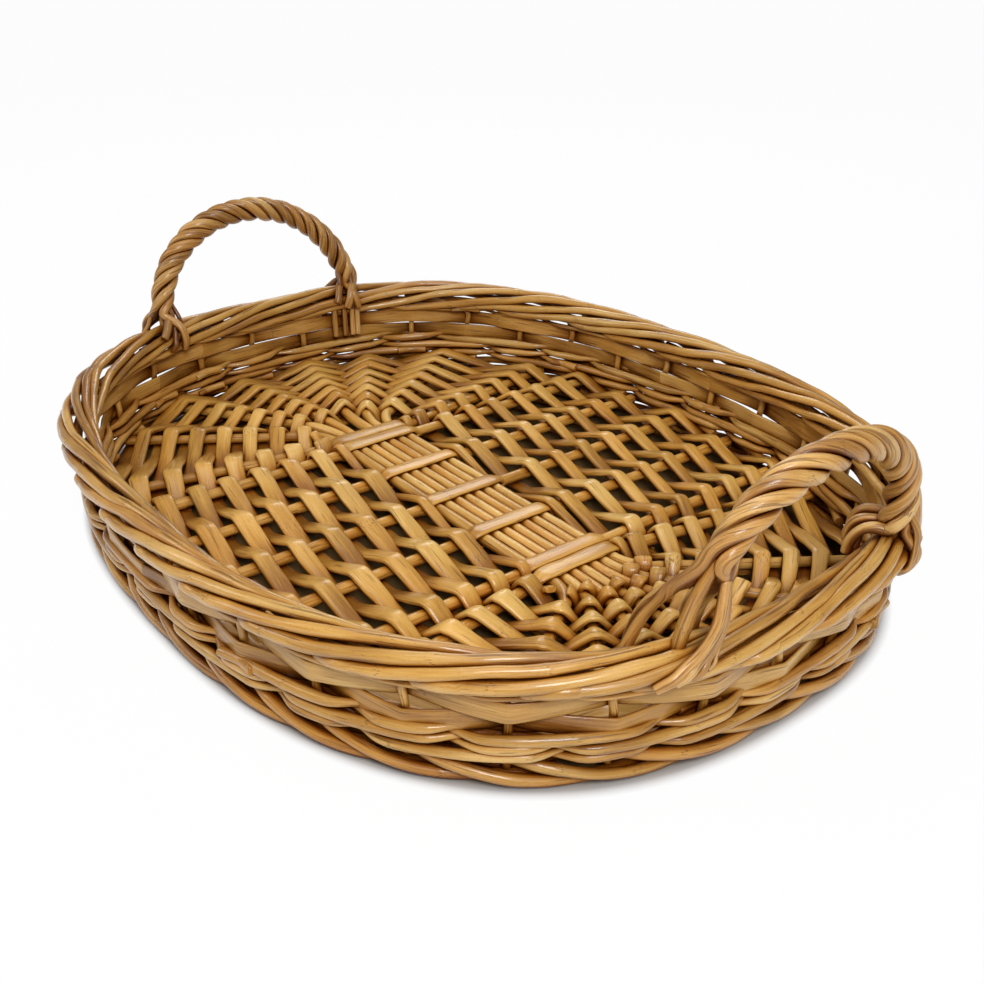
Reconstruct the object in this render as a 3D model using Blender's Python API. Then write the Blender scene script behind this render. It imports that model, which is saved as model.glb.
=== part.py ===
"""Oval willow tray with two rope handles.

A slatted, woven base of long and split cross sticks, a low wall of upright stakes held by
rows of weaving, a rolled border made from the bent-over stake tops, and a handle at each end.
Metres, +Z up, origin on the floor under the middle of the tray. Long axis along X.
"""
import math

import bmesh
import bpy
import numpy as np
from mathutils import Vector

# The fit between neighbouring rods, how far a cutter runs past, and what counts as one point
GAP = 0.0003
OVERRUN = 0.004
WELD_DISTANCE = 0.00001

# Wall oval, measured on the middle of the wall at the foot
WALL_HALF_LENGTH = 0.236
WALL_HALF_WIDTH = 0.194
OVAL_POWER = 2.45
OVAL_SAMPLES = 1440
HALVINGS = 60
WALL_FLARE = 0.005

# Foot ring that the tray stands on
FOOT_HEIGHT = 0.008
FOOT_WIDTH = 0.009
FOOT_FLAT = 0.0054

# Upright stakes
STAKE_COUNT = 33
STAKE_RADIUS = 0.002

# Rows of weaving up the wall, from the foot to the border
BOTTOM_WALE_ROWS = 3
BOTTOM_WALE_RADIUS = 0.0026
SIDE_BAND_ROWS = 2
SIDE_BAND_HEIGHT = 0.0074
SIDE_BAND_THICKNESS = 0.0018
TOP_WALE_RADIUS = 0.0019
WALE_STEP = 3
STEEPEST_SWING = 0.9

# Border: each stake top lies over the wall and rolls from the outside to the inside
BORDER_ROD_RADIUS = 0.0027
BORDER_LAY_RADIUS = 0.0081
BORDER_LIFT = 0.0022
BORDER_START_ANGLE = 106.0
BORDER_TURN_PER_BAY = 42.0
BORDER_HALF_BAYS = 9
BORDER_START_SHARE = 0.35

# Base sticks lengthways
LONG_STICK_COUNT = 7
LONG_STICK_RADIUS = 0.0035
FAN_STICK_RADIUS = 0.0026
FAN_INSET = 0.0039
LEFT_FAN_ANGLES = (57.0, 34.5, 13.5)
RIGHT_FAN_ANGLES = (57.0, 38.0, 19.0)

# Base sticks crossways, split and threaded over the long ones. The close pair near each end
# keeps its distance to that end, and the single ones stand at a share of the inner pair stick's
END_TO_PAIR = 0.1349
PAIR_SPACING = 0.0116
SINGLE_STICK_SHARE = 0.4972
PAIR_SPREAD = 0.028
CROSS_STICK_WIDTH = 0.0106
CROSS_ARM_RADIUS = 0.0031
SPLIT_THICKNESS = 0.0026
SPLIT_TAPER = 0.004
STICK_EDGE_ROUNDING = 0.001

# Base weaving: one flat weaver spirals outwards, over and under the sticks by turns
BASE_TURNS = 13
BASE_WEAVERS = 2
BASE_BAND_WIDTH = 0.0094
BASE_BAND_THICKNESS = 0.0024
FIRST_ROW_OFFSET = 0.0104
FIRST_ROW_LEFT_RADIUS = 0.033
FIRST_ROW_RIGHT_RADIUS = 0.037
LAST_ROW_INSET = 0.0142
ROW_GAP = 0.0006
WEAVE_CLEARANCE = 0.0007

# Handles
HANDLE_HALF_SPREAD = 0.0735
HANDLE_RISE = 0.0763
HANDLE_LEAN_SHARE = 0.114
HANDLE_BULGE_SHARE = 0.035
HANDLE_POWER = 0.9
HANDLE_STEPS = 16
ROPE_RADIUS = 0.0078
CORE_RADIUS = 0.003
LASHING_RADIUS = 0.0019
LASHING_START_SHARE = 0.45
LASHING_FIRST_ANGLE = 36.0
LASHING_LAST_ANGLE = 128.0
LASHING_STEPS = 4

WILLOW_GOLD = (0.56, 0.34, 0.13)
WILLOW_HONEY = (0.50, 0.29, 0.10)
WILLOW_TAN = (0.46, 0.25, 0.10)
WILLOW_BROWN = (0.40, 0.20, 0.08)
VARNISH_ROUGHNESS = 0.35

EIGHTH_TURN = 45.0
SHARP_ANGLE = 35.0
ROD_BEVEL_STEPS = 1
ROPE_BEVEL_STEPS = 2

# Heights that follow from the rows stacked on each other
STICK_LEVEL = FOOT_HEIGHT + GAP + CROSS_ARM_RADIUS
BOTTOM_WALE_START = STICK_LEVEL + CROSS_ARM_RADIUS + GAP
BOTTOM_WALE_PITCH = 2 * BOTTOM_WALE_RADIUS + GAP
SIDE_BAND_START = BOTTOM_WALE_START + BOTTOM_WALE_ROWS * BOTTOM_WALE_PITCH
SIDE_BAND_PITCH = SIDE_BAND_HEIGHT + GAP
TOP_WALE_LEVEL = SIDE_BAND_START + SIDE_BAND_ROWS * SIDE_BAND_PITCH + TOP_WALE_RADIUS
STAKE_STRAIGHT_TOP = TOP_WALE_LEVEL + TOP_WALE_RADIUS + GAP
BORDER_REACH = BORDER_LAY_RADIUS + BORDER_ROD_RADIUS
BORDER_DROP = -BORDER_LAY_RADIUS * math.cos(math.radians(BORDER_START_ANGLE))
BORDER_LEVEL = STAKE_STRAIGHT_TOP + BORDER_LIFT + BORDER_ROD_RADIUS + BORDER_DROP

# Places along the tray that follow from its length
PAIR_OUTER_X = WALL_HALF_LENGTH - END_TO_PAIR
PAIR_INNER_X = PAIR_OUTER_X - PAIR_SPACING
CROSS_STICK_SPACING = SINGLE_STICK_SHARE * PAIR_INNER_X
FAN_CENTRE_X = PAIR_OUTER_X + FAN_INSET

# Widths that follow from the sticks and their fit
BUNDLE_PITCH = 2 * LONG_STICK_RADIUS + GAP
BUNDLE_HALF = (LONG_STICK_COUNT - 1) / 2 * BUNDLE_PITCH + LONG_STICK_RADIUS
SPLIT_HALF_HEIGHT = LONG_STICK_RADIUS + GAP + SPLIT_THICKNESS
STICK_END_INSET = STAKE_RADIUS + GAP


def clear_scene():
    """Remove every object of the scene."""
    for obj in list(bpy.data.objects):
        bpy.data.objects.remove(obj, do_unlink=True)


def make_collection(name):
    """A new collection in the scene."""
    collection = bpy.data.collections.new(name)
    bpy.context.scene.collection.children.link(collection)
    return collection


def willow(name, colour):
    """A varnished willow material of one colour."""
    material = bpy.data.materials.new(name)
    material.use_nodes = True
    shader = material.node_tree.nodes["Principled BSDF"]
    shader.inputs["Base Color"].default_value = (*colour, 1.0)
    shader.inputs["Roughness"].default_value = VARNISH_ROUGHNESS
    shader.inputs["Metallic"].default_value = 0.0
    return material


class WallOval:
    """The rounded oval of the wall, walked by distance around it from the middle of one side."""

    def __init__(self):
        angles = np.linspace(-math.pi / 2, 3 * math.pi / 2, OVAL_SAMPLES + 1)
        power = 2 / OVAL_POWER
        cosines = np.cos(angles)
        sines = np.sin(angles)
        x = WALL_HALF_LENGTH * np.sign(cosines) * np.abs(cosines) ** power
        y = WALL_HALF_WIDTH * np.sign(sines) * np.abs(sines) ** power
        self.points = np.stack([x, y], axis=1)
        steps = np.linalg.norm(np.diff(self.points, axis=0), axis=1)
        self.distance = np.concatenate([[0.0], np.cumsum(steps)])
        self.length = float(self.distance[-1])

    def plan(self, along):
        """Plan position at a distance along the wall."""
        along = along % self.length
        x = np.interp(along, self.distance, self.points[:, 0])
        y = np.interp(along, self.distance, self.points[:, 1])
        return np.array([x, y])

    def outward(self, along):
        """Unit plan direction that points out of the tray, square to the wall."""
        reach = self.length / OVAL_SAMPLES * 2
        along_wall = self.plan(along + reach) - self.plan(along - reach)
        along_wall /= np.linalg.norm(along_wall)
        return np.array([along_wall[1], -along_wall[0]])

    def at(self, along, out, height):
        """World point: a distance along the wall, out from its middle, and a height."""
        lean = WALL_FLARE * height / BORDER_LEVEL
        x, y = self.plan(along) + self.outward(along) * (out + lean)
        return Vector((x, y, height))

    def along_of_y(self, target):
        """Distance along the wall, on the +X end, where the border's middle is at this Y."""
        low = 0.0
        high = self.length / 2
        for _ in range(HALVINGS):
            middle = (low + high) / 2
            if self.at(middle, 0.0, BORDER_LEVEL).y < target:
                low = middle
            else:
                high = middle
        return low


OVAL = WallOval()
BAY = OVAL.length / STAKE_COUNT


def reach_of_ray(start, direction, inset):
    """How far a ray in plan runs before it comes within an inset of the wall's middle."""
    low = 0.0
    high = 2 * WALL_HALF_LENGTH
    for _ in range(HALVINGS):
        middle = (low + high) / 2
        x, y = start + direction * middle
        span_x = abs(x) / (WALL_HALF_LENGTH - inset)
        span_y = abs(y) / (WALL_HALF_WIDTH - inset)
        if span_x ** OVAL_POWER + span_y ** OVAL_POWER < 1:
            low = middle
        else:
            high = middle
    return low


def link(obj, collection, colour):
    """Put an object in a collection with a material of its own."""
    collection.objects.link(obj)
    obj.data.materials.clear()
    obj.data.materials.append(willow(obj.name, colour))
    return obj


def rod(name, points, radius, resolution, shares=None, closed=False):
    """A round rod along points: a curve with a bevel, thinner where its share is under 1."""
    curve = bpy.data.curves.new(name, "CURVE")
    curve.dimensions = "3D"
    curve.twist_mode = "MINIMUM"
    curve.bevel_depth = radius
    curve.bevel_resolution = resolution
    curve.use_fill_caps = not closed
    spline = curve.splines.new("POLY")
    spline.points.add(len(points) - 1)
    for index, (point, place) in enumerate(zip(spline.points, points)):
        point.co = (*place, 1.0)
        point.radius = 1.0 if shares is None else shares[index]
    spline.use_cyclic_u = closed
    spline.use_smooth = True
    return bpy.data.objects.new(name, curve)


def section(name, corners):
    """A closed outline that a curve is swept with. It is a guide and isn't part of the tray."""
    curve = bpy.data.curves.new(name, "CURVE")
    curve.dimensions = "2D"
    spline = curve.splines.new("POLY")
    spline.points.add(len(corners) - 1)
    for point, (across, up) in zip(spline.points, corners):
        point.co = (across, up, 0.0, 1.0)
    spline.use_cyclic_u = True
    guide = bpy.data.objects.new(name, curve)
    guide.hide_render = True
    guide.display_type = "WIRE"
    return guide


def strip(name, points, outline, shares=None, closed=False):
    """A strip swept along points with its own section."""
    obj = rod(name, points, 0.0, 0, shares, closed)
    obj.data.twist_mode = "Z_UP"
    obj.data.bevel_mode = "OBJECT"
    obj.data.bevel_object = outline
    obj.data.splines[0].use_smooth = False
    return obj


def rectangle(width, height):
    """Corners of an upright rectangle about its middle."""
    return [
        (-width / 2, height / 2),
        (width / 2, height / 2),
        (width / 2, -height / 2),
        (-width / 2, -height / 2),
    ]


def mesh_of(obj, colour):
    """Turn a curve object into a mesh object with its loose caps welded."""
    bpy.context.view_layer.update()
    evaluated = obj.evaluated_get(bpy.context.evaluated_depsgraph_get())
    mesh = bpy.data.meshes.new_from_object(evaluated)
    work = bmesh.new()
    work.from_mesh(mesh)
    bmesh.ops.remove_doubles(work, verts=work.verts, dist=WELD_DISTANCE)
    bmesh.ops.recalc_face_normals(work, faces=work.faces)
    work.to_mesh(mesh)
    work.free()
    name = obj.name
    place = obj.matrix_world.copy()
    collections = list(obj.users_collection)
    bpy.data.objects.remove(obj, do_unlink=True)
    solid = bpy.data.objects.new(name, mesh)
    solid.matrix_world = place
    for collection in collections:
        collection.objects.link(solid)
    mesh.materials.clear()
    mesh.materials.append(willow(name, colour))
    return solid


def swing(offset, half_bay):
    """Height of a zigzag whose straight sides stay an offset away from the rod it goes round."""
    share = min(offset / half_bay, STEEPEST_SWING)
    return offset / math.sqrt(1 - share * share)


def foot_border(parts, guides, colour):
    """The ring under the wall, flat below, that the tray stands on."""
    half = FOOT_HEIGHT / 2
    corners = [
        (-FOOT_WIDTH / 2, 0.0),
        (-FOOT_FLAT / 2, half),
        (FOOT_FLAT / 2, half),
        (FOOT_WIDTH / 2, 0.0),
        (FOOT_FLAT / 2, -half),
        (-FOOT_FLAT / 2, -half),
    ]
    outline = section("foot_outline", corners)
    guides.objects.link(outline)
    points = [OVAL.at(step * BAY, 0.0, half) for step in range(STAKE_COUNT)]
    link(strip("foot_border", points, outline, closed=True), parts, colour)


def wall_row(offset_of_stake, height):
    """Points of one row around the wall, that passes each stake outside or inside."""
    points = []
    for stake in range(STAKE_COUNT):
        here = offset_of_stake(stake)
        after = offset_of_stake((stake + 1) % STAKE_COUNT)
        points.append(OVAL.at(stake * BAY, here, height))
        points.append(OVAL.at((stake + 0.5) * BAY, (here + after) / 2, height))
    return points


def bottom_wale(parts, colour):
    """Rods stacked above the base: each goes outside two stakes and inside the third."""
    offset = swing(STAKE_RADIUS + GAP + BOTTOM_WALE_RADIUS, BAY / 2)
    for row in range(BOTTOM_WALE_ROWS):
        height = BOTTOM_WALE_START + row * BOTTOM_WALE_PITCH + BOTTOM_WALE_RADIUS

        def side(stake, row=row):
            return -offset if (stake + row) % WALE_STEP == 0 else offset

        name = f"bottom_wale_{row + 1}"
        ring = rod(name, wall_row(side, height), BOTTOM_WALE_RADIUS, ROD_BEVEL_STEPS, closed=True)
        link(ring, parts, colour)


def side_bands(parts, guides, colour):
    """Wide split bands, in front of one stake and behind the next, each one turn long."""
    outline = section("side_band_outline", rectangle(SIDE_BAND_THICKNESS, SIDE_BAND_HEIGHT))
    guides.objects.link(outline)
    offset = swing(STAKE_RADIUS + GAP + SIDE_BAND_THICKNESS / 2, BAY / 2)
    for row in range(SIDE_BAND_ROWS):
        height = SIDE_BAND_START + row * SIDE_BAND_PITCH + SIDE_BAND_HEIGHT / 2

        def side(stake, row=row):
            return offset if (stake + row) % 2 == 0 else -offset

        points = wall_row(side, height)[:-1]
        link(strip(f"side_band_{row + 1}", points, outline), parts, colour)


def top_wale(parts, colour):
    """The thin rod that closes the weaving under the border."""
    offset = swing(STAKE_RADIUS + GAP + TOP_WALE_RADIUS, BAY / 2)

    def side(stake):
        return -offset if (stake + 1) % WALE_STEP == 0 else offset

    ring = rod("top_wale", wall_row(side, TOP_WALE_LEVEL), TOP_WALE_RADIUS, ROD_BEVEL_STEPS, closed=True)
    link(ring, parts, colour)


def stake_points(number):
    """A stake up through the wall, then along the border from its outside over to its inside."""
    start = number * BAY
    points = [
        OVAL.at(start, 0.0, FOOT_HEIGHT + GAP),
        OVAL.at(start, 0.0, STAKE_STRAIGHT_TOP),
    ]
    for half_bay in range(BORDER_HALF_BAYS + 1):
        angle = math.radians(BORDER_START_ANGLE - BORDER_TURN_PER_BAY * half_bay / 2)
        out = BORDER_LAY_RADIUS * math.sin(angle)
        height = BORDER_LEVEL + BORDER_LAY_RADIUS * math.cos(angle)
        along = start + (BORDER_START_SHARE + half_bay / 2) * BAY
        points.append(OVAL.at(along, out, height))
    return points


def stakes(parts, colour):
    """All stakes, each in one piece with the border rod that its top becomes."""
    thin = STAKE_RADIUS / BORDER_ROD_RADIUS
    for number in range(STAKE_COUNT):
        points = stake_points(number)
        shares = [thin, thin] + [1.0] * (len(points) - 2)
        stake = rod(f"stake_{number + 1:02d}", points, BORDER_ROD_RADIUS, ROD_BEVEL_STEPS, shares)
        link(stake, parts, colour)


def stick_offset(index):
    """Sideways place of a long stick in the middle bundle."""
    return (index - (LONG_STICK_COUNT - 1) / 2) * BUNDLE_PITCH


def fan_ray(index, side):
    """Bend, direction and reach of one long stick at one end: side is -1 left, +1 right."""
    offset = stick_offset(index)
    order = min(index, LONG_STICK_COUNT - 1 - index)
    angles = RIGHT_FAN_ANGLES if side > 0 else LEFT_FAN_ANGLES
    if order >= len(angles):
        turn = 0.0
        bend = FAN_CENTRE_X
    else:
        turn = math.copysign(math.radians(angles[order]), offset)
        bend = FAN_CENTRE_X + offset / math.tan(turn)
    start = np.array([side * bend, offset])
    direction = np.array([side * math.cos(turn), math.sin(turn)])
    return start, direction, reach_of_ray(start, direction, STICK_END_INSET)


def is_middle_stick(index):
    """The middle stick is cut short at the left end."""
    return 2 * index == LONG_STICK_COUNT - 1


def long_sticks(parts, colour):
    """The middle bundle, whose sticks open into a fan at both ends."""
    thin = FAN_STICK_RADIUS / LONG_STICK_RADIUS
    for index in range(LONG_STICK_COUNT):
        points = []
        shares = []
        for side in (-1, 1):
            start, direction, reach = fan_ray(index, side)
            end = start + direction * reach
            near = start + direction * LONG_STICK_RADIUS * 2
            tail = [(*start, STICK_LEVEL), (*near, STICK_LEVEL), (*end, STICK_LEVEL)]
            widths = [1.0, thin, thin]
            if side < 0 and is_middle_stick(index):
                tail = tail[:1]
                widths = widths[:1]
            if side < 0:
                tail.reverse()
                widths.reverse()
            points += tail
            shares += widths
        stick = rod(f"long_stick_{index + 1}", points, LONG_STICK_RADIUS, ROD_BEVEL_STEPS, shares)
        link(stick, parts, colour)


def cross_stick_places():
    """Where the cross sticks lie along X, and how far each one's arms spread outwards."""
    places = []
    for side in (-1, 1):
        places.append((side * PAIR_OUTER_X, side * PAIR_SPREAD))
        places.append((side * PAIR_INNER_X, 0.0))
        places.append((side * CROSS_STICK_SPACING, 0.0))
    places.append((0.0, 0.0))
    return sorted(places)


def cross_arm(place, spread, side):
    """Start, direction and reach of a cross stick's arm: side is -1 for -Y, +1 for +Y."""
    start = np.array([place, side * BUNDLE_HALF])
    run = WALL_HALF_WIDTH - BUNDLE_HALF
    direction = np.array([spread, side * run])
    direction /= np.linalg.norm(direction)
    return start, direction, reach_of_ray(start, direction, STICK_END_INSET)


def cross_stick(number, place, spread, parts, guides, colour):
    """A stick split in the middle, with the long sticks passing through the split."""
    _, direction, reach = cross_arm(place, spread, 1)
    half_length = BUNDLE_HALF + abs(direction[1]) * reach
    shoulder = BUNDLE_HALF + GAP + SPLIT_TAPER
    eye = BUNDLE_HALF + GAP
    slot = LONG_STICK_RADIUS + GAP
    outer = [
        (-half_length, -CROSS_ARM_RADIUS),
        (-shoulder, -CROSS_ARM_RADIUS),
        (-eye, -SPLIT_HALF_HEIGHT),
        (eye, -SPLIT_HALF_HEIGHT),
        (shoulder, -CROSS_ARM_RADIUS),
        (half_length, -CROSS_ARM_RADIUS),
        (half_length, CROSS_ARM_RADIUS),
        (shoulder, CROSS_ARM_RADIUS),
        (eye, SPLIT_HALF_HEIGHT),
        (-eye, SPLIT_HALF_HEIGHT),
        (-shoulder, CROSS_ARM_RADIUS),
        (-half_length, CROSS_ARM_RADIUS),
    ]
    hole = [
        (-eye, -slot + SPLIT_THICKNESS / 2),
        (-eye + SPLIT_THICKNESS / 2, -slot),
        (eye - SPLIT_THICKNESS / 2, -slot),
        (eye, -slot + SPLIT_THICKNESS / 2),
        (eye, slot - SPLIT_THICKNESS / 2),
        (eye - SPLIT_THICKNESS / 2, slot),
        (-eye + SPLIT_THICKNESS / 2, slot),
        (-eye, slot - SPLIT_THICKNESS / 2),
    ]
    curve = bpy.data.curves.new(f"cross_stick_{number}", "CURVE")
    curve.dimensions = "2D"
    curve.fill_mode = "BOTH"
    curve.extrude = CROSS_STICK_WIDTH / 2 - STICK_EDGE_ROUNDING
    curve.bevel_depth = STICK_EDGE_ROUNDING
    curve.bevel_resolution = 0
    curve.offset = -STICK_EDGE_ROUNDING
    for corners in (outer, hole):
        spline = curve.splines.new("POLY")
        spline.points.add(len(corners) - 1)
        for point, (along, up) in zip(spline.points, corners):
            point.co = (along, up, 0.0, 1.0)
        spline.use_cyclic_u = True
    obj = bpy.data.objects.new(f"cross_stick_{number}", curve)
    guides.objects.link(obj)
    stick = mesh_of(obj, colour)
    guides.objects.unlink(stick)
    parts.objects.link(stick)
    for vertex in stick.data.vertices:
        along, up, across = vertex.co
        past = max(abs(along) - shoulder, 0.0)
        if abs(along) > (eye + shoulder) / 2:
            across, up = rounded_corner(across, up)
        drift = spread * past / (WALL_HALF_WIDTH - BUNDLE_HALF)
        vertex.co = (place + drift + across, along, STICK_LEVEL + up)
    stick.data.update()
    turn_outwards(stick)
    return stick


def rounded_corner(across, up):
    """Move a corner of the flat stick's section onto the eight-sided section of a round arm."""
    side_angle = math.radians(EIGHTH_TURN / 2)
    on_side = abs(across) > (CROSS_STICK_WIDTH - STICK_EDGE_ROUNDING) / 2
    angle = side_angle if on_side else math.radians(2 * EIGHTH_TURN) - side_angle
    across = math.copysign(CROSS_ARM_RADIUS * math.cos(angle), across)
    up = math.copysign(CROSS_ARM_RADIUS * math.sin(angle), up)
    return across, up


def turn_outwards(obj):
    """Point every face of a mesh out of its solid."""
    work = bmesh.new()
    work.from_mesh(obj.data)
    bmesh.ops.recalc_face_normals(work, faces=work.faces)
    work.to_mesh(obj.data)
    work.free()


def cross_sticks(parts, guides, colour):
    """Seven split sticks: a close pair at each end and three single ones."""
    for number, (place, spread) in enumerate(cross_stick_places()):
        cross_stick(number + 1, place, spread, parts, guides, colour)


def base_rungs():
    """Each stick end that the base weaver passes, in order around the tray.

    A rung is its first crossing point, its last one, and the stick's radius there.
    """
    rungs = []
    for place, spread in cross_stick_places():
        rungs.append(cross_rung(place, spread, -1))
    for index in range(LONG_STICK_COUNT):
        rungs.append(fan_rung(index, 1))
    for place, spread in reversed(cross_stick_places()):
        rungs.append(cross_rung(place, spread, 1))
    for index in reversed(range(LONG_STICK_COUNT)):
        if not is_middle_stick(index):
            rungs.append(fan_rung(index, -1))
    return rungs


def cross_rung(place, spread, side):
    """The crossings on one arm of a cross stick."""
    start, direction, _ = cross_arm(place, spread, side)
    last = reach_of_ray(start, direction, LAST_ROW_INSET)
    return start + direction * FIRST_ROW_OFFSET, start + direction * last, CROSS_ARM_RADIUS


def fan_rung(index, side):
    """The crossings on one fanned end of a long stick."""
    start, direction, _ = fan_ray(index, side)
    centre = np.array([side * FAN_CENTRE_X, 0.0])
    first = FIRST_ROW_RIGHT_RADIUS if side > 0 else FIRST_ROW_LEFT_RADIUS
    last = reach_of_ray(start, direction, LAST_ROW_INSET)
    return centre + direction * first, start + direction * last, FAN_STICK_RADIUS


def weaver_place(rungs, crossing):
    """Plan point where the spiral weaver makes its crossing of that number."""
    first, last, _ = rungs[crossing % len(rungs)]
    share = crossing / (BASE_TURNS * len(rungs))
    return first + (last - first) * share


def distance_to_line(point, start, end):
    """Plan distance from a point to the line through two others."""
    run = end - start
    across = np.array([run[1], -run[0]]) / np.linalg.norm(run)
    return abs(float(np.dot(point - start, across)))


def weaver_share(rungs, crossing):
    """How wide the weaver is at a crossing, as a share of its full width."""
    turn = len(rungs)
    here = weaver_place(rungs, crossing)
    before = weaver_place(rungs, crossing + turn - 1)
    across = weaver_place(rungs, crossing + turn)
    after = weaver_place(rungs, crossing + turn + 1)
    pitch = min(distance_to_line(here, before, across), distance_to_line(here, across, after))
    return min(1.0, (pitch - ROW_GAP) / BASE_BAND_WIDTH)


def weaver_lift(rungs, crossing, share):
    """Signed height of the weaver over or under the stick that it crosses."""
    here = weaver_place(rungs, crossing)
    before = weaver_place(rungs, crossing - 1)
    after = weaver_place(rungs, crossing + 1)
    half_bay = min(np.linalg.norm(here - before), np.linalg.norm(after - here)) / 2
    radius = rungs[crossing % len(rungs)][2]
    offset = radius + WEAVE_CLEARANCE + BASE_BAND_THICKNESS * share / 2
    lift = swing(offset, half_bay)
    return lift if crossing % 2 == 0 else -lift


def base_weavers(parts, guides, colour):
    """The flat weavers of the base, laid end to end in one spiral."""
    outline = section("base_band_outline", rectangle(BASE_BAND_WIDTH, BASE_BAND_THICKNESS))
    guides.objects.link(outline)
    rungs = base_rungs()
    total = BASE_TURNS * len(rungs)
    share_of = [weaver_share(rungs, crossing) for crossing in range(total + 1)]
    per_weaver = total // BASE_WEAVERS
    for number in range(BASE_WEAVERS):
        begin = number * per_weaver
        end = total if number == BASE_WEAVERS - 1 else begin + per_weaver - 1
        points = []
        shares = []
        for crossing in range(begin, end + 1):
            here = weaver_place(rungs, crossing)
            lift = weaver_lift(rungs, crossing, share_of[crossing])
            points.append((*here, STICK_LEVEL + lift))
            shares.append(share_of[crossing])
            if crossing < end:
                middle = (here + weaver_place(rungs, crossing + 1)) / 2
                points.append((*middle, STICK_LEVEL))
                shares.append((share_of[crossing] + share_of[crossing + 1]) / 2)
        name = f"base_weaver_{number + 1}"
        link(strip(name, points, outline, shares), parts, colour)


def handle_points(side, along):
    """The arch of a handle from border to border: side is -1 left, +1 right."""
    foot = OVAL.at(along, 0.0, BORDER_LEVEL)
    low = (BORDER_REACH + GAP + ROPE_RADIUS * HANDLE_LEAN_SHARE) / HANDLE_RISE
    first = math.asin(low ** (1 / HANDLE_POWER))
    points = []
    for step in range(HANDLE_STEPS + 1):
        angle = first + (math.pi - 2 * first) * step / HANDLE_STEPS
        rise = HANDLE_RISE * math.sin(angle) ** HANDLE_POWER
        cosine = math.cos(angle)
        width = math.copysign(abs(cosine) ** HANDLE_POWER, cosine)
        swell = 1 + HANDLE_BULGE_SHARE * math.sin(angle)
        x = side * (foot.x + HANDLE_LEAN_SHARE * rise)
        points.append((x, HANDLE_HALF_SPREAD * width * swell, BORDER_LEVEL + rise))
    return points


def run_past(points):
    """The same arch with both ends carried on straight by the overrun."""
    ends = []
    for end, inner in ((0, 1), (-1, -2)):
        tip = Vector(points[end])
        ends.append(tip + (tip - Vector(points[inner])).normalized() * OVERRUN)
    return [ends[0], *points, ends[1]]


def handle_tube(name, points, radius, resolution, holder, colour):
    """A tube along a handle, as a mesh."""
    obj = rod(name, points, radius, resolution)
    holder.objects.link(obj)
    return mesh_of(obj, colour)


def lashing_points(along, facing, foot, above):
    """One strand from the rope's foot down over the border: facing is -1 inside, +1 outside."""
    first = math.radians(LASHING_FIRST_ANGLE)
    step = (math.radians(LASHING_LAST_ANGLE) - first) / LASHING_STEPS
    reach = (BORDER_REACH + GAP + LASHING_RADIUS) / math.cos(step / 2)
    middle = (CORE_RADIUS + GAP + ROPE_RADIUS) / 2
    outward = Vector((*OVAL.outward(along), 0.0))
    anchor = Vector(foot).lerp(Vector(above), LASHING_START_SHARE)
    points = [anchor + outward * facing * middle]
    for number in range(LASHING_STEPS + 1):
        turn = first + step * number
        height = BORDER_LEVEL + reach * math.cos(turn)
        points.append(OVAL.at(along, facing * reach * math.sin(turn), height))
    return points


def combine(obj, other, operation):
    """Leave a live Boolean on an object."""
    modifier = obj.modifiers.new(operation.lower() + "_" + other.name, "BOOLEAN")
    modifier.operation = operation
    modifier.solver = "EXACT"
    modifier.object = other
    other.hide_render = True
    other.display_type = "WIRE"


def handle(side_name, side, parts, guides, rope_colour, core_colour):
    """A bow with a thick rope of rods round it, lashed over the border at both feet."""
    along = OVAL.along_of_y(HANDLE_HALF_SPREAD)
    core_points = handle_points(side, along)
    core = rod(f"handle_{side_name}_core", core_points, CORE_RADIUS, ROD_BEVEL_STEPS)
    link(core, parts, core_colour)
    name = f"handle_{side_name}_rope"
    rope = handle_tube(name, core_points, ROPE_RADIUS, ROPE_BEVEL_STEPS, parts, rope_colour)
    half_round = OVAL.length / 2
    far_foot = along if side > 0 else OVAL.length - along
    near_foot = half_round - along if side > 0 else half_round + along
    feet = (
        ("far", far_foot, core_points[0], core_points[1]),
        ("near", near_foot, core_points[-1], core_points[-2]),
    )
    for foot_name, place, foot, above in feet:
        for facing in (-1, 1):
            strand_name = f"{name}_lashing_{foot_name}_{facing + 1}"
            points = lashing_points(place, facing, foot, above)
            strand = handle_tube(strand_name, points, LASHING_RADIUS, ROD_BEVEL_STEPS, guides, rope_colour)
            combine(rope, strand, "UNION")
    bore_name = f"handle_{side_name}_bore"
    bore_points = run_past(core_points)
    bore = handle_tube(bore_name, bore_points, CORE_RADIUS + GAP, ROD_BEVEL_STEPS, guides, core_colour)
    combine(rope, bore, "DIFFERENCE")


def smooth_meshes(collection):
    """Shade the mesh pieces smooth with sharp edges kept."""
    for obj in collection.objects:
        if obj.type == "MESH":
            obj.data.shade_smooth()
            obj.data.set_sharp_from_angle(angle=math.radians(SHARP_ANGLE))


def build():
    """Make the whole tray."""
    clear_scene()
    parts = make_collection("willow_tray")
    guides = make_collection("willow_tray_guides")
    foot_border(parts, guides, WILLOW_HONEY)
    long_sticks(parts, WILLOW_GOLD)
    cross_sticks(parts, guides, WILLOW_GOLD)
    base_weavers(parts, guides, WILLOW_GOLD)
    bottom_wale(parts, WILLOW_HONEY)
    side_bands(parts, guides, WILLOW_HONEY)
    top_wale(parts, WILLOW_HONEY)
    stakes(parts, WILLOW_TAN)
    handle("left", -1, parts, guides, WILLOW_BROWN, WILLOW_TAN)
    handle("right", 1, parts, guides, WILLOW_BROWN, WILLOW_TAN)
    smooth_meshes(parts)


build()
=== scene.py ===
"""Scene of the oval willow tray: every rod, slat and strand is a swept form of its own.

The sizes and the places of the rods repeat those of the tray's solids, in metres.
"""
import math

import bpy
import numpy as np
from mathutils import Matrix
from numpy.random import default_rng


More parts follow.
